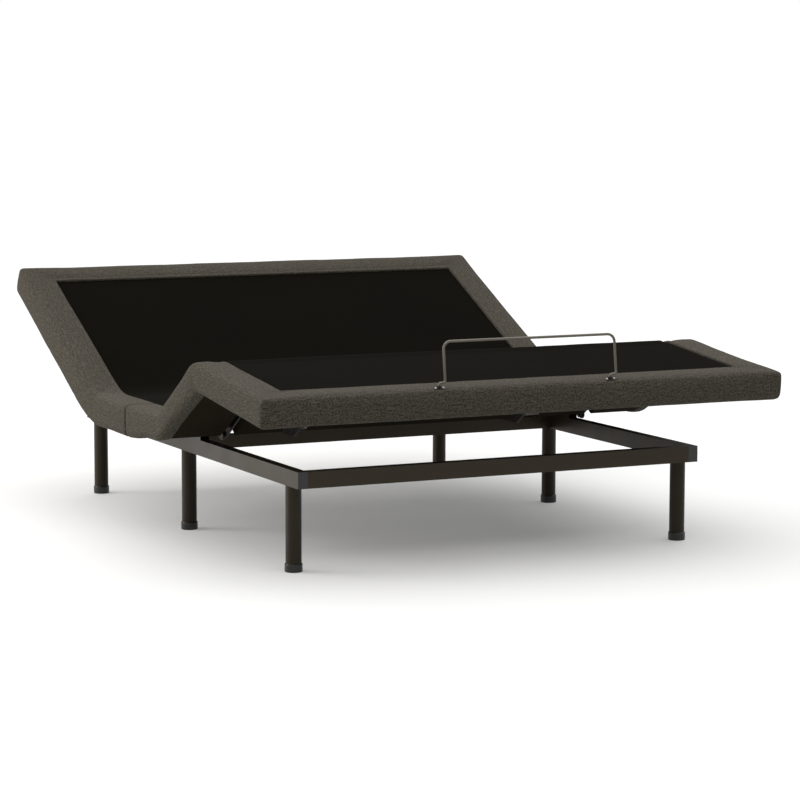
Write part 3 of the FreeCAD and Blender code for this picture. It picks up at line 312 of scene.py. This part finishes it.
def border_mesh(name, split, end):
    """The closed shell of half the border, its count of points to a section, and their looseness."""
    section = [(u * MM, w * MM) for u, w in BORDER_SECTION_MM]
    stations = horseshoe(split, end)
    count = len(section)
    girth = np.cumsum([0] + [math.dist(a, b) for a, b in zip(section, section[1:])])
    vertices, cloth, distance = [], [], []
    travelled = 0.0
    previous = None
    for index, (inner, outer) in enumerate(stations):
        from_end = min(index, len(stations) - 1 - index)
        share = END_SHARES[from_end] if from_end < len(END_SHARES) else 1
        inset = END_ROUNDING * (1 - math.sqrt(1 - (1 - share) ** 2))
        if previous is not None:
            travelled += math.dist(previous, outer)
        previous = outer
        for number, (u, w) in enumerate(shrunk(section, inset)):
            part = u / BORDER
            along = inner[0] + (outer[0] - inner[0]) * part
            across = inner[1] + (outer[1] - inner[1]) * part
            vertices.append(on_deck(along, across, w * skirt_scale(along)))
            cloth.append((travelled, girth[number], 0))
            distance.append(along)
    faces = []
    for ring in range(len(stations) - 1):
        for number in range(count):
            after = (number + 1) % count
            a, b = ring * count + number, ring * count + after
            faces.append((a, b, b + count, a + count))
    faces.append(tuple(reversed(range(count))))
    last = (len(stations) - 1) * count
    faces.append(tuple(range(last, last + count)))
    piece = shell(name, vertices, faces, {"cloth": cloth, "distance": distance})
    return piece, count, looseness(stations, count)


def looseness(stations, count):
    """How freely each point may move: fully on the straight runs, hardly at the corners and cut ends."""
    places = [Vector(outer) for _, outer in stations]
    tight = [places[0], places[-1]] + [place for place in places if at_corner(place)]
    values = []
    for place in places:
        nearest = min((place - spot).length for spot in tight)
        values += [min(1, LEAST_LOOSE + nearest / CALM_REACH)] * count
    return np.array(values)[:, None]


def at_corner(place):
    """Whether a plan point, as (along, across), is at one of the deck's outer corners."""
    from_end = min(abs(place.x), abs(place.x - outline.length))
    return from_end < CORNER_TOLERANCE and abs(abs(place.y) - DECK_HALF) < CORNER_TOLERANCE


def shell(name, vertices, faces, attributes, rim_angle=math.pi):
    """A smooth mesh object from its points and faces, creased where it turns by more than rim_angle."""
    mesh = bpy.data.meshes.new(name)
    mesh.from_pydata([tuple(v) for v in vertices], [], faces)
    for key, values in attributes.items():
        if key == "cloth":
            layer = mesh.attributes.new(key, "FLOAT_VECTOR", "POINT")
            layer.data.foreach_set("vector", np.array(values, np.float32).ravel())
        else:
            layer = mesh.attributes.new(key, "FLOAT", "POINT")
            layer.data.foreach_set("value", np.array(values, np.float32))
    edit = bmesh.new()
    edit.from_mesh(mesh)
    bmesh.ops.recalc_face_normals(edit, faces=edit.faces)
    for face in edit.faces:
        face.smooth = True
    for edge in edit.edges:
        edge.smooth = edge.calc_face_angle() < rim_angle
    edit.to_mesh(mesh)
    edit.free()
    piece = bpy.data.objects.new(name, mesh)
    bpy.context.collection.objects.link(piece)
    return piece


def coordinates(piece):
    points = np.empty(len(piece.data.vertices) * 3)
    piece.data.vertices.foreach_get("co", points)
    return points.reshape(-1, 3)


def set_coordinates(piece, points):
    piece.data.vertices.foreach_set("co", points.ravel())
    piece.data.update()


def normals(piece):
    values = np.empty(len(piece.data.vertices) * 3, np.float32)
    piece.data.vertex_normals.foreach_get("vector", values)
    return values.reshape(-1, 3)


def applied(piece):
    """The piece's mesh with its modifiers applied and removed."""
    graph = bpy.context.evaluated_depsgraph_get()
    final = bpy.data.meshes.new_from_object(piece.evaluated_get(graph))
    piece.modifiers.clear()
    piece.data = final
    return piece


PRESSURE = 1.2
SLACK = -0.004
CLOTH_FRAMES = 14
MOVE_CAP = 2 * MM
SWELL_SCALE, SWELL_HEIGHT = 6.5, 0.9 * MM
PUCKER_SCALE, PUCKER_HEIGHT = 21, 0.45 * MM


def settle(piece, held, loose):
    """Lets the fabric swell and pucker over its padding by cloth simulation, held along its hidden faces."""
    start = coordinates(piece)
    group = piece.vertex_groups.new(name="held")
    group.add(held, 1.0, "REPLACE")
    cloth = piece.modifiers.new("cloth", "CLOTH")
    cloth.settings.quality = 4
    cloth.settings.mass = 0.3
    cloth.settings.tension_stiffness = 12
    cloth.settings.compression_stiffness = 12
    cloth.settings.shear_stiffness = 4
    cloth.settings.bending_stiffness = 0.4
    cloth.settings.vertex_group_mass = "held"
    cloth.settings.shrink_min = SLACK
    cloth.settings.use_pressure = True
    cloth.settings.uniform_pressure_force = PRESSURE
    cloth.settings.effector_weights.gravity = 0
    cloth.collision_settings.use_collision = False
    cloth.collision_settings.use_self_collision = False
    for number in range(1, CLOTH_FRAMES + 1):
        bpy.context.scene.frame_set(number)
    applied(piece)
    moved = coordinates(piece) - start
    length = np.linalg.norm(moved, axis=1, keepdims=True)
    limit = np.minimum(1, MOVE_CAP / np.maximum(length, 1e-9))
    set_coordinates(piece, start + moved * limit * loose)
    piece.vertex_groups.clear()
    bpy.context.scene.frame_set(1)


def soften(piece, loose):
    """Uneven padding: slow swells with smaller puckers on them."""
    points = coordinates(piece)
    out = normals(piece)
    for index, point in enumerate(points):
        place = Vector(point)
        swell = noise.noise(place * SWELL_SCALE) * SWELL_HEIGHT
        swell += noise.noise(place * PUCKER_SCALE) * PUCKER_HEIGHT
        points[index] += out[index] * swell * loose[index]
    set_coordinates(piece, points)


def subdivide(piece):
    modifier = piece.modifiers.new("smooth", "SUBSURF")
    modifier.levels = 1
    modifier.render_levels = 1
    return applied(piece)


def cut_between(piece, name, low, high):
    """The part of a shell between two distances from the foot end, with its cut faces closed."""
    mesh = piece.data
    values = np.empty(len(mesh.vertices), np.float32)
    mesh.attributes["distance"].data.foreach_get("value", values)
    part = bpy.data.objects.new(name, mesh.copy())
    bpy.context.collection.objects.link(part)
    edit = bmesh.new()
    edit.from_mesh(part.data)
    edit.verts.ensure_lookup_table()
    gone = []
    for face in edit.faces:
        middle = sum(values[v.index] for v in face.verts) / len(face.verts)
        if not low < middle < high:
            gone.append(face)
    bmesh.ops.delete(edit, geom=gone, context="FACES")
    rims = [edge for edge in edit.edges if edge.is_boundary]
    if rims:
        made = bmesh.ops.holes_fill(edit, edges=rims)["faces"]
        for face in made:
            for edge in face.edges:
                edge.smooth = False
        bmesh.ops.recalc_face_normals(edit, faces=edit.faces)
    edit.to_mesh(part.data)
    edit.free()
    return part


# ---------------------------------------------------------------- node materials


class Look:
    """A node material under construction, with its principled shader and the coordinates it is drawn in."""

    def __init__(self, name, colour, roughness, metallic=0.0, attribute=None):
        self.material = bpy.data.materials.new(name)
        self.material.use_nodes = True
        self.tree = self.material.node_tree
        self.shader = self.tree.nodes["Principled BSDF"]
        self.shader.inputs["Metallic"].default_value = metallic
        self.colour = colour
        self.roughness = roughness
        if attribute:
            node = self.tree.nodes.new("ShaderNodeAttribute")
            node.attribute_name = attribute
            self.place = node.outputs["Vector"]
        else:
            self.place = self.tree.nodes.new("ShaderNodeTexCoord").outputs["Object"]
        self.position = self.tree.nodes.new("ShaderNodeTexCoord").outputs["Object"]

    def node(self, kind, **settings):
        made = self.tree.nodes.new(kind)
        for key, value in settings.items():
            setattr(made, key, value)
        return made

    def link(self, output, target):
        self.tree.links.new(output, target)

    def noise(self, scale, detail=3.0, stretch=None, everywhere=False):
        """A noise value from 0 to 1, its grain about one over scale metres."""
        source = self.position if everywhere else self.place
        if stretch:
            mapping = self.node("ShaderNodeMapping")
            mapping.inputs["Scale"].default_value = stretch
            self.link(source, mapping.inputs["Vector"])
            source = mapping.outputs["Vector"]
        made = self.node("ShaderNodeTexNoise")
        made.inputs["Scale"].default_value = scale
        made.inputs["Detail"].default_value = detail
        self.link(source, made.inputs["Vector"])
        return made.outputs["Fac"]

    def thread(self, direction, pitch):
        """A wave from 0 to 1 across parallel threads."""
        made = self.node("ShaderNodeTexWave", bands_direction=direction)
        made.inputs["Scale"].default_value = math.pi / 10 / pitch
        made.inputs["Distortion"].default_value = 1.2
        made.inputs["Detail"].default_value = 1
        made.inputs["Detail Scale"].default_value = 1.5
        self.link(self.place, made.inputs["Vector"])
        return made.outputs["Fac"]

    def spread(self, value, low, high, start=0.3, end=0.7):
        """A value stretched to run from low to high."""
        made = self.node("ShaderNodeMapRange")
        for key, number in (("From Min", start), ("From Max", end), ("To Min", low), ("To Max", high)):
            made.inputs[key].default_value = number
        self.link(value, made.inputs["Value"])
        return made.outputs["Result"]

    def maths(self, operation, first, second):
        made = self.node("ShaderNodeMath", operation=operation)
        for socket, value in zip(made.inputs, (first, second)):
            if isinstance(value, (int, float)):
                socket.default_value = value
            else:
                self.link(value, socket)
        return made.outputs["Value"]

    def mix(self, share, first, second):
        made = self.node("ShaderNodeMix", data_type="RGBA")
        self.link(share, made.inputs["Factor"])
        for name, value in (("A", first), ("B", second)):
            socket = [s for s in made.inputs if s.name == name and s.type == "RGBA"][0]
            if isinstance(value, tuple):
                socket.default_value = (*value, 1)
            else:
                self.link(value, socket)
        return [s for s in made.outputs if s.type == "RGBA"][0]

    def highlit_edge_mask(self):
        """A value near 1 on outer edges and 0 elsewhere, for painting highlights on them."""
        geometry = self.node("ShaderNodeNewGeometry")
        return self.spread(geometry.outputs["Pointiness"], 0, 1, 0.52, 0.6)

    def finish(self, colour=None, roughness=None, height=None, depth=0.0, bump=1.0):
        if colour is not None:
            self.link(colour, self.shader.inputs["Base Color"])
        else:
            self.shader.inputs["Base Color"].default_value = (*self.colour, 1)
        if roughness is not None:
            self.link(roughness, self.shader.inputs["Roughness"])
        else:
            self.shader.inputs["Roughness"].default_value = self.roughness
        if height is not None:
            made = self.node("ShaderNodeBump")
            made.inputs["Strength"].default_value = bump
            made.inputs["Distance"].default_value = depth
            self.link(height, made.inputs["Height"])
            self.link(made.outputs["Normal"], self.shader.inputs["Normal"])
        return self.material


def scaled(colour, factor):
    return tuple(channel * factor for channel in colour)


def tweed(name, colour):
    """Melange upholstery cloth: two-tone yarns in a plain weave, with slubs and a faint sheen."""
    look = Look(name, colour, 0.9, attribute="cloth")
    warp = look.thread("X", 2.1 * MM)
    weft = look.thread("Y", 2.4 * MM)
    weave = look.maths("MULTIPLY", warp, weft)
    fleck = look.spread(look.noise(215, 3), 0, 1, 0.4, 0.6)
    slub = look.spread(look.noise(120, 2, stretch=(0.4, 1.5, 1)), 0, 1, 0.5, 0.66)
    patch = look.spread(look.noise(7, 2, everywhere=True), 0, 1)
    yarn = look.mix(fleck, scaled(colour, 0.42), scaled(colour, 1.55))
    yarn = look.mix(look.maths("MULTIPLY", slub, 0.55), yarn, scaled(colour, 2.1))
    gaps = look.maths("MULTIPLY", look.spread(weave, 1, 0, 0, 0.35), 0.55)
    yarn = look.mix(gaps, yarn, scaled(colour, 0.35))
    yarn = look.mix(look.maths("MULTIPLY", patch, 0.18), yarn, scaled(colour, 0.8))
    height = look.maths("ADD", weave, look.maths("MULTIPLY", fleck, 0.6))
    rough = look.spread(fleck, 0.95, 0.82, 0, 1)
    look.shader.inputs["Sheen Weight"].default_value = 0.04
    look.shader.inputs["Sheen Roughness"].default_value = 0.6
    look.shader.inputs["Sheen Tint"].default_value = (1, 0.94, 0.82, 1)
    look.shader.inputs["Specular IOR Level"].default_value = 0.1
    return look.finish(yarn, rough, height, 0.5 * MM, 0.9)


def felted(name, colour):
    """Black non-woven cloth: short fibres pressed flat, a little lint, and no thread."""
    look = Look(name, colour, 0.9, attribute="cloth")
    fibre = look.noise(520, 3, stretch=(1, 0.45, 1))
    cloud = look.spread(look.noise(3.2, 3, everywhere=True), 0, 1)
    lint = look.spread(look.noise(230, 2), 0, 1, 0.62, 0.74)
    tone = look.mix(look.spread(fibre, 0, 1), scaled(colour, 0.7), scaled(colour, 1.3))
    tone = look.mix(look.maths("MULTIPLY", cloud, 0.35), tone, scaled(colour, 1.7))
    tone = look.mix(look.maths("MULTIPLY", lint, 0.5), tone, scaled(colour, 2.6))
    look.shader.inputs["Specular IOR Level"].default_value = 0.03
    look.shader.inputs["Specular Tint"].default_value = (1, 0.85, 0.66, 1)
    return look.finish(tone, look.spread(fibre, 0.88, 0.98), fibre, 0.35 * MM, 0.7)


def powder_coat(name, colour, roughness=0.42, edge_highlight=0.35, shine=0.25):
    """Stoved powder paint: fine orange peel, uneven gloss, and a painted highlight lightening the outer
    edges.
    """
    look = Look(name, colour, roughness)
    peel = look.noise(900, 2)
    cloud = look.spread(look.noise(9, 4), 0, 1)
    dust = look.spread(look.noise(60, 5), 0, 1, 0.5, 0.8)
    tone = look.mix(cloud, scaled(colour, 0.86), scaled(colour, 1.14))
    tone = look.mix(look.maths("MULTIPLY", dust, 0.12), tone, scaled(colour, 2.2))
    # Painted highlight: outer edges lightened in the colour, as if they catch the light.
    painted_highlight = look.maths("MULTIPLY", look.highlit_edge_mask(), edge_highlight)
    tone = look.mix(painted_highlight, tone, scaled(colour, 2.4))
    rough = look.spread(cloud, roughness - 0.05, roughness + 0.07, 0, 1)
    look.shader.inputs["Specular IOR Level"].default_value = shine
    look.shader.inputs["Specular Tint"].default_value = (1, 0.88, 0.74, 1)
    return look.finish(tone, rough, peel, 0.12 * MM, 0.35)


def moulded(name, colour, roughness=0.3):
    """Injection-moulded plastic: fine spark texture and slightly uneven gloss."""
    look = Look(name, colour, roughness)
    grain = look.noise(1400, 2)
    cloud = look.spread(look.noise(24, 3), 0, 1)
    tone = look.mix(cloud, scaled(colour, 0.88), scaled(colour, 1.16))
    scuff = look.spread(look.noise(85, 4, stretch=(1, 1, 0.3)), 0, 1, 0.6, 0.75)
    tone = look.mix(look.maths("MULTIPLY", scuff, 0.15), tone, scaled(colour, 2.5))
    rough = look.spread(grain, roughness - 0.06, roughness + 0.12)
    return look.finish(tone, rough, grain, 0.06 * MM, 0.25)


def bare_metal(name, colour, roughness, stretch=(1, 1, 1), tint=None):
    """Plated or drawn metal: streaks along the working direction and cloudy plating."""
    look = Look(name, colour, roughness, metallic=1.0)
    streak = look.noise(260, 4, stretch=stretch)
    cloud = look.spread(look.noise(40, 3), 0, 1)
    tone = look.mix(look.maths("MULTIPLY", cloud, 0.5), colour, tint or scaled(colour, 0.75))
    tone = look.mix(look.spread(streak, 0, 0.3), tone, scaled(colour, 0.6))
    return look.finish(tone, look.spread(streak, roughness - 0.08, roughness + 0.12), streak, 0.05 * MM, 0.3)


def faced_board(name, colour):
    """Board faced with black film: a faint rotary grain telegraphs through."""
    look = Look(name, colour, 0.6)
    grain = look.noise(38, 5, stretch=(1, 0.08, 1))
    speck = look.spread(look.noise(420, 2), 0, 1, 0.55, 0.8)
    tone = look.mix(look.spread(grain, 0, 1), scaled(colour, 0.75), scaled(colour, 1.35))
    tone = look.mix(look.maths("MULTIPLY", speck, 0.25), tone, scaled(colour, 2))
    look.shader.inputs["Specular IOR Level"].default_value = 0.2
    look.shader.inputs["Specular Tint"].default_value = (1, 0.9, 0.8, 1)
    return look.finish(tone, look.spread(grain, 0.5, 0.68), grain, 0.2 * MM, 0.3)


TWEED = (0.0455, 0.0398, 0.0300)
BLACK_CLOTH = (0.0016, 0.0014, 0.0008)
DUST_CLOTH = (0.0110, 0.0088, 0.0056)
FRAME_PAINT = (0.0165, 0.0132, 0.0085)
# Painted shade: the legs get a darker copy of the frame paint because they stand in shade.
SHADED_LEG_PAINT = (0.0074, 0.0060, 0.0036)

looks = {
    "deck_fabric": tweed("tweed", TWEED),
    "cover_cloth": felted("black_felt", BLACK_CLOTH),
    "dust_cloth": felted("dust_cloth", DUST_CLOTH),
    "plywood": faced_board("faced_board", (0.006, 0.0057, 0.005)),
    "frame_paint": powder_coat("bronze_powder_coat", FRAME_PAINT, 0.36),
    "leg_paint": powder_coat("shaded_leg_powder_coat", SHADED_LEG_PAINT, 0.4),
    "black_plastic": moulded("black_plastic", (0.005, 0.005, 0.005), 0.24),
    "nylon": moulded("natural_nylon", (0.6, 0.57, 0.5), 0.45),
    "mechanism_paint": powder_coat("black_paint", (0.006, 0.006, 0.006), 0.45),
    "hinge_steel": bare_metal("black_zinc", (0.05, 0.048, 0.045), 0.42, (1, 0.2, 1)),
    # The bar gets a stronger painted highlight on its edges than the frame.
    "bar_paint": powder_coat("bar_paint", (0.075, 0.070, 0.058), 0.3, 0.5, 0.5),
    "bright_zinc": bare_metal("bright_zinc", (0.72, 0.72, 0.7), 0.25, tint=(0.66, 0.67, 0.72)),
    "motor_paint": powder_coat("motor_paint", (0.008, 0.008, 0.008), 0.5),
    "rod_aluminium": bare_metal("drawn_aluminium", (0.7, 0.7, 0.71), 0.3, (1, 0.05, 1)),
}

for node in frame["nodes"].values():
    for material_slot in node.material_slots:
        slot_name = material_slot.material.name.split(".")[0]
        if slot_name in looks:
            material_slot.material = looks[slot_name]

own_looks = {"retainer_brackets": looks["mechanism_paint"]}
# The legs take the shaded copy of the frame paint: painted shade.
for node_name in frame["nodes"]:
    if node_name.startswith("leg_") and node_name != "leg_caps":
        own_looks[node_name] = looks["leg_paint"]
for node_name, own_look in own_looks.items():
    for material_slot in frame["nodes"][node_name].material_slots:
        material_slot.material = own_look

# ---------------------------------------------------------------- covers


def held_points(piece, count):
    """The points of the border's hidden inner faces and of its two ends."""
    total = len(piece.data.vertices)
    rings = total // count
    held = []
    for index in range(total):
        ring, number = divmod(index, count)
        hidden = not FIRST_SHOWN <= number <= LAST_SHOWN
        if hidden or ring < 4 or ring >= rings - 4:
            held.append(index)
    return held


def dressed(piece, slot_name, look_name=None):
    """Gives a piece its material: the look named look_name, or else the look for slot_name."""
    piece.data.materials.clear()
    piece.data.materials.append(looks[look_name or slot_name])
    return piece


def upholstery(name, split, end):
    """Half the border, swelled by the cloth simulation, made uneven and subdivided."""
    piece, count, loose = border_mesh(name, split, end)
    settle(piece, held_points(piece, count), loose)
    soften(piece, loose)
    return subdivide(piece)


HEAD_FOLD = 55 * MM
THIGH_FOLD = 40 * MM
KNEE_FOLD = 45 * MM


def blend_over(piece):
    """Bakes a piece's transform into its mesh."""
    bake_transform(piece)


FAR = 10.0
head_border = upholstery("head_border", SPLIT_AT + SPLIT_GAP / 2, outline.length)
dressed(head_border, "deck_fabric")
blend_over(head_border)
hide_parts("head_foam", "seat_foam_rear")

foot_half = upholstery("foot_half", SPLIT_AT - SPLIT_GAP / 2, 0)
seat_border = cut_between(foot_half, "seat_border", MID_THIGH_AT, FAR)
calf_border = cut_between(foot_half, "calf_border", -FAR, MID_THIGH_AT)
bpy.data.objects.remove(foot_half)
dressed(seat_border, "deck_fabric")
dressed(calf_border, "deck_fabric")
blend_over(seat_border)
blend_over(calf_border)
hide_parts("seat_foam_front")
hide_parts("thigh_foam", "calf_foam")

# ---------------------------------------------------------------- black cloth over the panels

PANEL_STEP = 22 * MM
BEND_STEP = 7 * MM
BEND_REACH = 60 * MM
LEAST_STEP = 4 * MM
COVER_EDGE = 1.0 * MM
EDGE_ROLL = 14 * MM
STAPLE_LINE = 4 * MM
EDGE_DIP, UNDER_DIP = 1.4 * MM, 1.2 * MM
KNUCKLE_RISE = 7.5 * MM
KNUCKLE_REACH = 22 * MM
RIM_ANGLE = math.radians(50)


def panel_marks(low, high):
    """Distances along the deck from low to high, close together over the bends."""
    marks = steps(low, high, PANEL_STEP)
    for at in outline.corner_at:
        marks += steps(at - BEND_REACH, at + BEND_REACH, BEND_STEP)
    kept = [low]
    for mark in sorted(marks):
        if kept[-1] + LEAST_STEP < mark < high - LEAST_STEP:
            kept.append(mark)
    return kept + [high]


def slab_faces(start, wide, deep):
    """Faces of a closed slab whose points are a grid, wide by deep, and the same grid again under it."""
    under = wide * deep
    faces = []
    for row in range(deep - 1):
        for column in range(wide - 1):
            a = start + row * wide + column
            square = (a, a + 1, a + 1 + wide, a + wide)
            faces.append(square)
            faces.append(tuple(under + corner for corner in reversed(square)))
    ring = list(range(wide)) + [row * wide + wide - 1 for row in range(1, deep)]
    ring += [(deep - 1) * wide + column for column in range(wide - 2, -1, -1)]
    ring += [row * wide for row in range(deep - 2, 0, -1)]
    for a, b in zip(ring, ring[1:] + ring[:1]):
        faces.append((start + a, start + a + under, start + b + under, start + b))
    return faces


def black_cover(name, low, high):
    """A slab of cloth over felt between two distances, nearly flat, drawn down along its stapled edges."""
    half = PANEL_HALF - COVER_EDGE
    across = [-half, -half + STAPLE_LINE]
    across += steps(-half + EDGE_ROLL, half - EDGE_ROLL, PANEL_STEP)
    across += [half - STAPLE_LINE, half]
    marks = panel_marks(low, high)
    top, bottom, cloth = [], [], []
    for along in marks:
        for x in across:
            edge = min(abs(abs(x) - half), EDGE_ROLL) / EDGE_ROLL
            place = on_deck(along, x, 0)
            wave = noise.noise(place * 5) * 1.0 + noise.noise(place * 17) * 0.45
            ridge = KNUCKLE_RISE * math.exp(-(((along - KNEE_AT) / KNUCKLE_REACH) ** 2)) * edge
            height = -COVER_DROP - EDGE_DIP * (1 - edge) ** 2 + wave * MM * edge + ridge
            depth = -COVER_DROP - COVER_THICKNESS - UNDER_DIP * (1 - edge) ** 2
            top.append(on_deck(along, x, height))
            bottom.append(on_deck(along, x, depth))
            cloth.append((along, x, 0))
    faces = slab_faces(0, len(across), len(marks))
    return shell(name, top + bottom, faces, {"cloth": cloth + cloth}, RIM_ANGLE)


HEAD_END_INSIDE = outline.length - BORDER - COVER_EDGE
FOOT_END_INSIDE = BORDER + COVER_EDGE
covers = (
    ("head_cloth", SPLIT_AT + SPLIT_GAP / 2, HEAD_END_INSIDE, "base", "head_deck", HEAD_AT, HEAD_FOLD,
     ["seat_panel", "head_panel"], ["head_cover"]),
    ("seat_cloth", MID_THIGH_AT, SPLIT_AT - SPLIT_GAP / 2, "thigh_deck", "base", THIGH_AT, THIGH_FOLD,
     ["thigh_panel", "seat_panel"], ["seat_cover"]),
    ("calf_cloth", FOOT_END_INSIDE, MID_THIGH_AT, "calf_deck", "thigh_deck", KNEE_AT, KNEE_FOLD,
     ["calf_panel", "thigh_panel"], ["thigh_cover", "calf_cover"]),
)
for name, low, high, before, after, at, reach, panels, stands_for in covers:
    cover = dressed(black_cover(name, low, high), "cover_cloth")
    blend_over(cover)
    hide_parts(*stands_for)

# ---------------------------------------------------------------- dust cloths under the deck

DUST_HEIGHT = -75 * MM
DUST_THICKNESS = 1.2 * MM
DUST_SAG = 1.1 * MM
SAG_REACH = 60 * MM
SAG_SCALE = 7
SAG_LAYER = 3
TUCKED_HALF = DECK_HALF - WALL + 4 * MM
END_TUCK = WALL - 4 * MM
KNEE_CLEAR = 45 * MM
ARM_CENTRE = (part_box("head_rollers")[1].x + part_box("head_lift_arms")[1].x) / 2 - 15 * MM
ARM_SLOT = 36 * MM
LINK_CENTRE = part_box("pivot_plates")[1].x - 10 * MM
CHANNEL_HALF = 20 * MM
CHANNEL_SLOPE = 8 * MM
CHANNEL_RISE = 23 * MM
DUST_STEP = 6 * MM


def channel(across):
    """How far the cloth is lifted, in a channel on each side, to leave room for the calf links."""
    beside = abs(abs(across) - LINK_CENTRE)
    return CHANNEL_RISE * min(1, max(0, (CHANNEL_HALF - beside) / CHANNEL_SLOPE))


def dust_cloth(name, body, low, high, slots):
    """Thin cloth stapled under one section, with slots left in it for what passes through."""
    edges = [-TUCKED_HALF]
    for centre, reach in slots:
        edges += [centre - reach, centre + reach]
    edges.append(TUCKED_HALF)
    strips = list(zip(edges[::2], edges[1::2]))
    marks = steps(low, high, PANEL_STEP)
    vertices, faces, cloth = [], [], []
    for left, right in strips:
        across = steps(left, right, DUST_STEP)
        faces += slab_faces(len(vertices), len(across), len(marks))
        for side in (0, 1):
            for along in marks:
                for x in across:
                    edge = min(x - left, right - x, along - low, high - along, SAG_REACH) / SAG_REACH
                    spot = Vector((x * SAG_SCALE, along * SAG_SCALE, SAG_LAYER))
                    sag = noise.noise(spot) * DUST_SAG * edge
                    height = (DUST_HEIGHT - side * DUST_THICKNESS) * skirt_scale(along) + sag + channel(x)
                    vertices.append(on_deck(along, x, height))
                    cloth.append((along, x, 0))
    piece = dressed(shell(name, vertices, faces, {"cloth": cloth}, RIM_ANGLE), "cover_cloth", "dust_cloth")
    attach(piece, body)


THIGH_SLOTS = [(-ARM_CENTRE, ARM_SLOT), (ARM_CENTRE, ARM_SLOT)]
dust_cloth("calf_dust_cloth", "calf_deck", END_TUCK, KNEE_AT - KNEE_CLEAR, [])
dust_cloth("thigh_dust_cloth", "thigh_deck", KNEE_AT + KNEE_CLEAR, THIGH_AT, THIGH_SLOTS)

# ---------------------------------------------------------------- floor and light

FLOOR_SIZE = 60.0
FLOOR_COLOUR = (0.5, 0.5, 0.495)
FLOOR_GLOW = 0.2


def make_floor():
    """A large pale floor that glows a little, as an overlit studio floor does."""
    mesh = bpy.data.meshes.new("floor")
    half = FLOOR_SIZE / 2
    corners = [(-half, -half, 0), (half, -half, 0), (half, half, 0), (-half, half, 0)]
    mesh.from_pydata(corners, [], [(0, 1, 2, 3)])
    floor = bpy.data.objects.new("floor", mesh)
    bpy.context.collection.objects.link(floor)
    look = Look("pale_floor", FLOOR_COLOUR, 0.7)
    cloud = look.spread(look.noise(1.5, 3), 0, 1)
    tone = look.mix(cloud, FLOOR_COLOUR, scaled(FLOOR_COLOUR, 1.03))
    look.shader.inputs["Specular IOR Level"].default_value = 0.1
    look.shader.inputs["Emission Color"].default_value = (1, 1, 1, 1)
    look.shader.inputs["Emission Strength"].default_value = FLOOR_GLOW
    mesh.materials.append(look.finish(tone))


def area_light(name, place, target, size, power, colour=(1, 1, 1)):
    data = bpy.data.lights.new(name, "AREA")
    data.shape = "DISK"
    data.size = size
    data.energy = power
    data.color = colour
    light = bpy.data.objects.new(name, data)
    light.location = place
    light.rotation_euler = (Vector(target) - Vector(place)).to_track_quat("-Z", "Y").to_euler()
    bpy.context.collection.objects.link(light)


def sun(name, azimuth, elevation, spread, strength):
    """A broad distant light: azimuth is where it comes from, in degrees from +X towards +Y."""
    data = bpy.data.lights.new(name, "SUN")
    data.energy = strength
    data.angle = math.radians(spread)
    light = bpy.data.objects.new(name, data)
    a, e = math.radians(azimuth), math.radians(elevation)
    towards = Vector((math.cos(a) * math.cos(e), math.sin(a) * math.cos(e), math.sin(e)))
    light.rotation_euler = towards.to_track_quat("Z", "Y").to_euler()
    bpy.context.collection.objects.link(light)


AMBIENT = 0.14
BACKDROP = 1.0


def make_light():
    """One broad light from above, a warmer panel on the left, and a white backdrop."""
    sun("overhead", 120, 85, 125, 5.0)
    area_light("side_panel", (-5.0, 2.2, 1.7), (0, 0.1, 0.3), 3.4, 176, (1, 0.935, 0.84))
    world = bpy.data.worlds.new("studio")
    world.use_nodes = True
    tree = world.node_tree
    background = tree.nodes["Background"]
    background.inputs["Color"].default_value = (1, 1, 1, 1)
    seen = tree.nodes.new("ShaderNodeLightPath").outputs["Is Camera Ray"]
    strength = tree.nodes.new("ShaderNodeMapRange")
    strength.inputs["To Min"].default_value = AMBIENT
    strength.inputs["To Max"].default_value = BACKDROP
    tree.links.new(seen, strength.inputs["Value"])
    tree.links.new(strength.outputs["Result"], background.inputs["Strength"])
    bpy.context.scene.world = world
    bpy.context.scene.view_settings.view_transform = "Standard"


make_floor()
make_light()
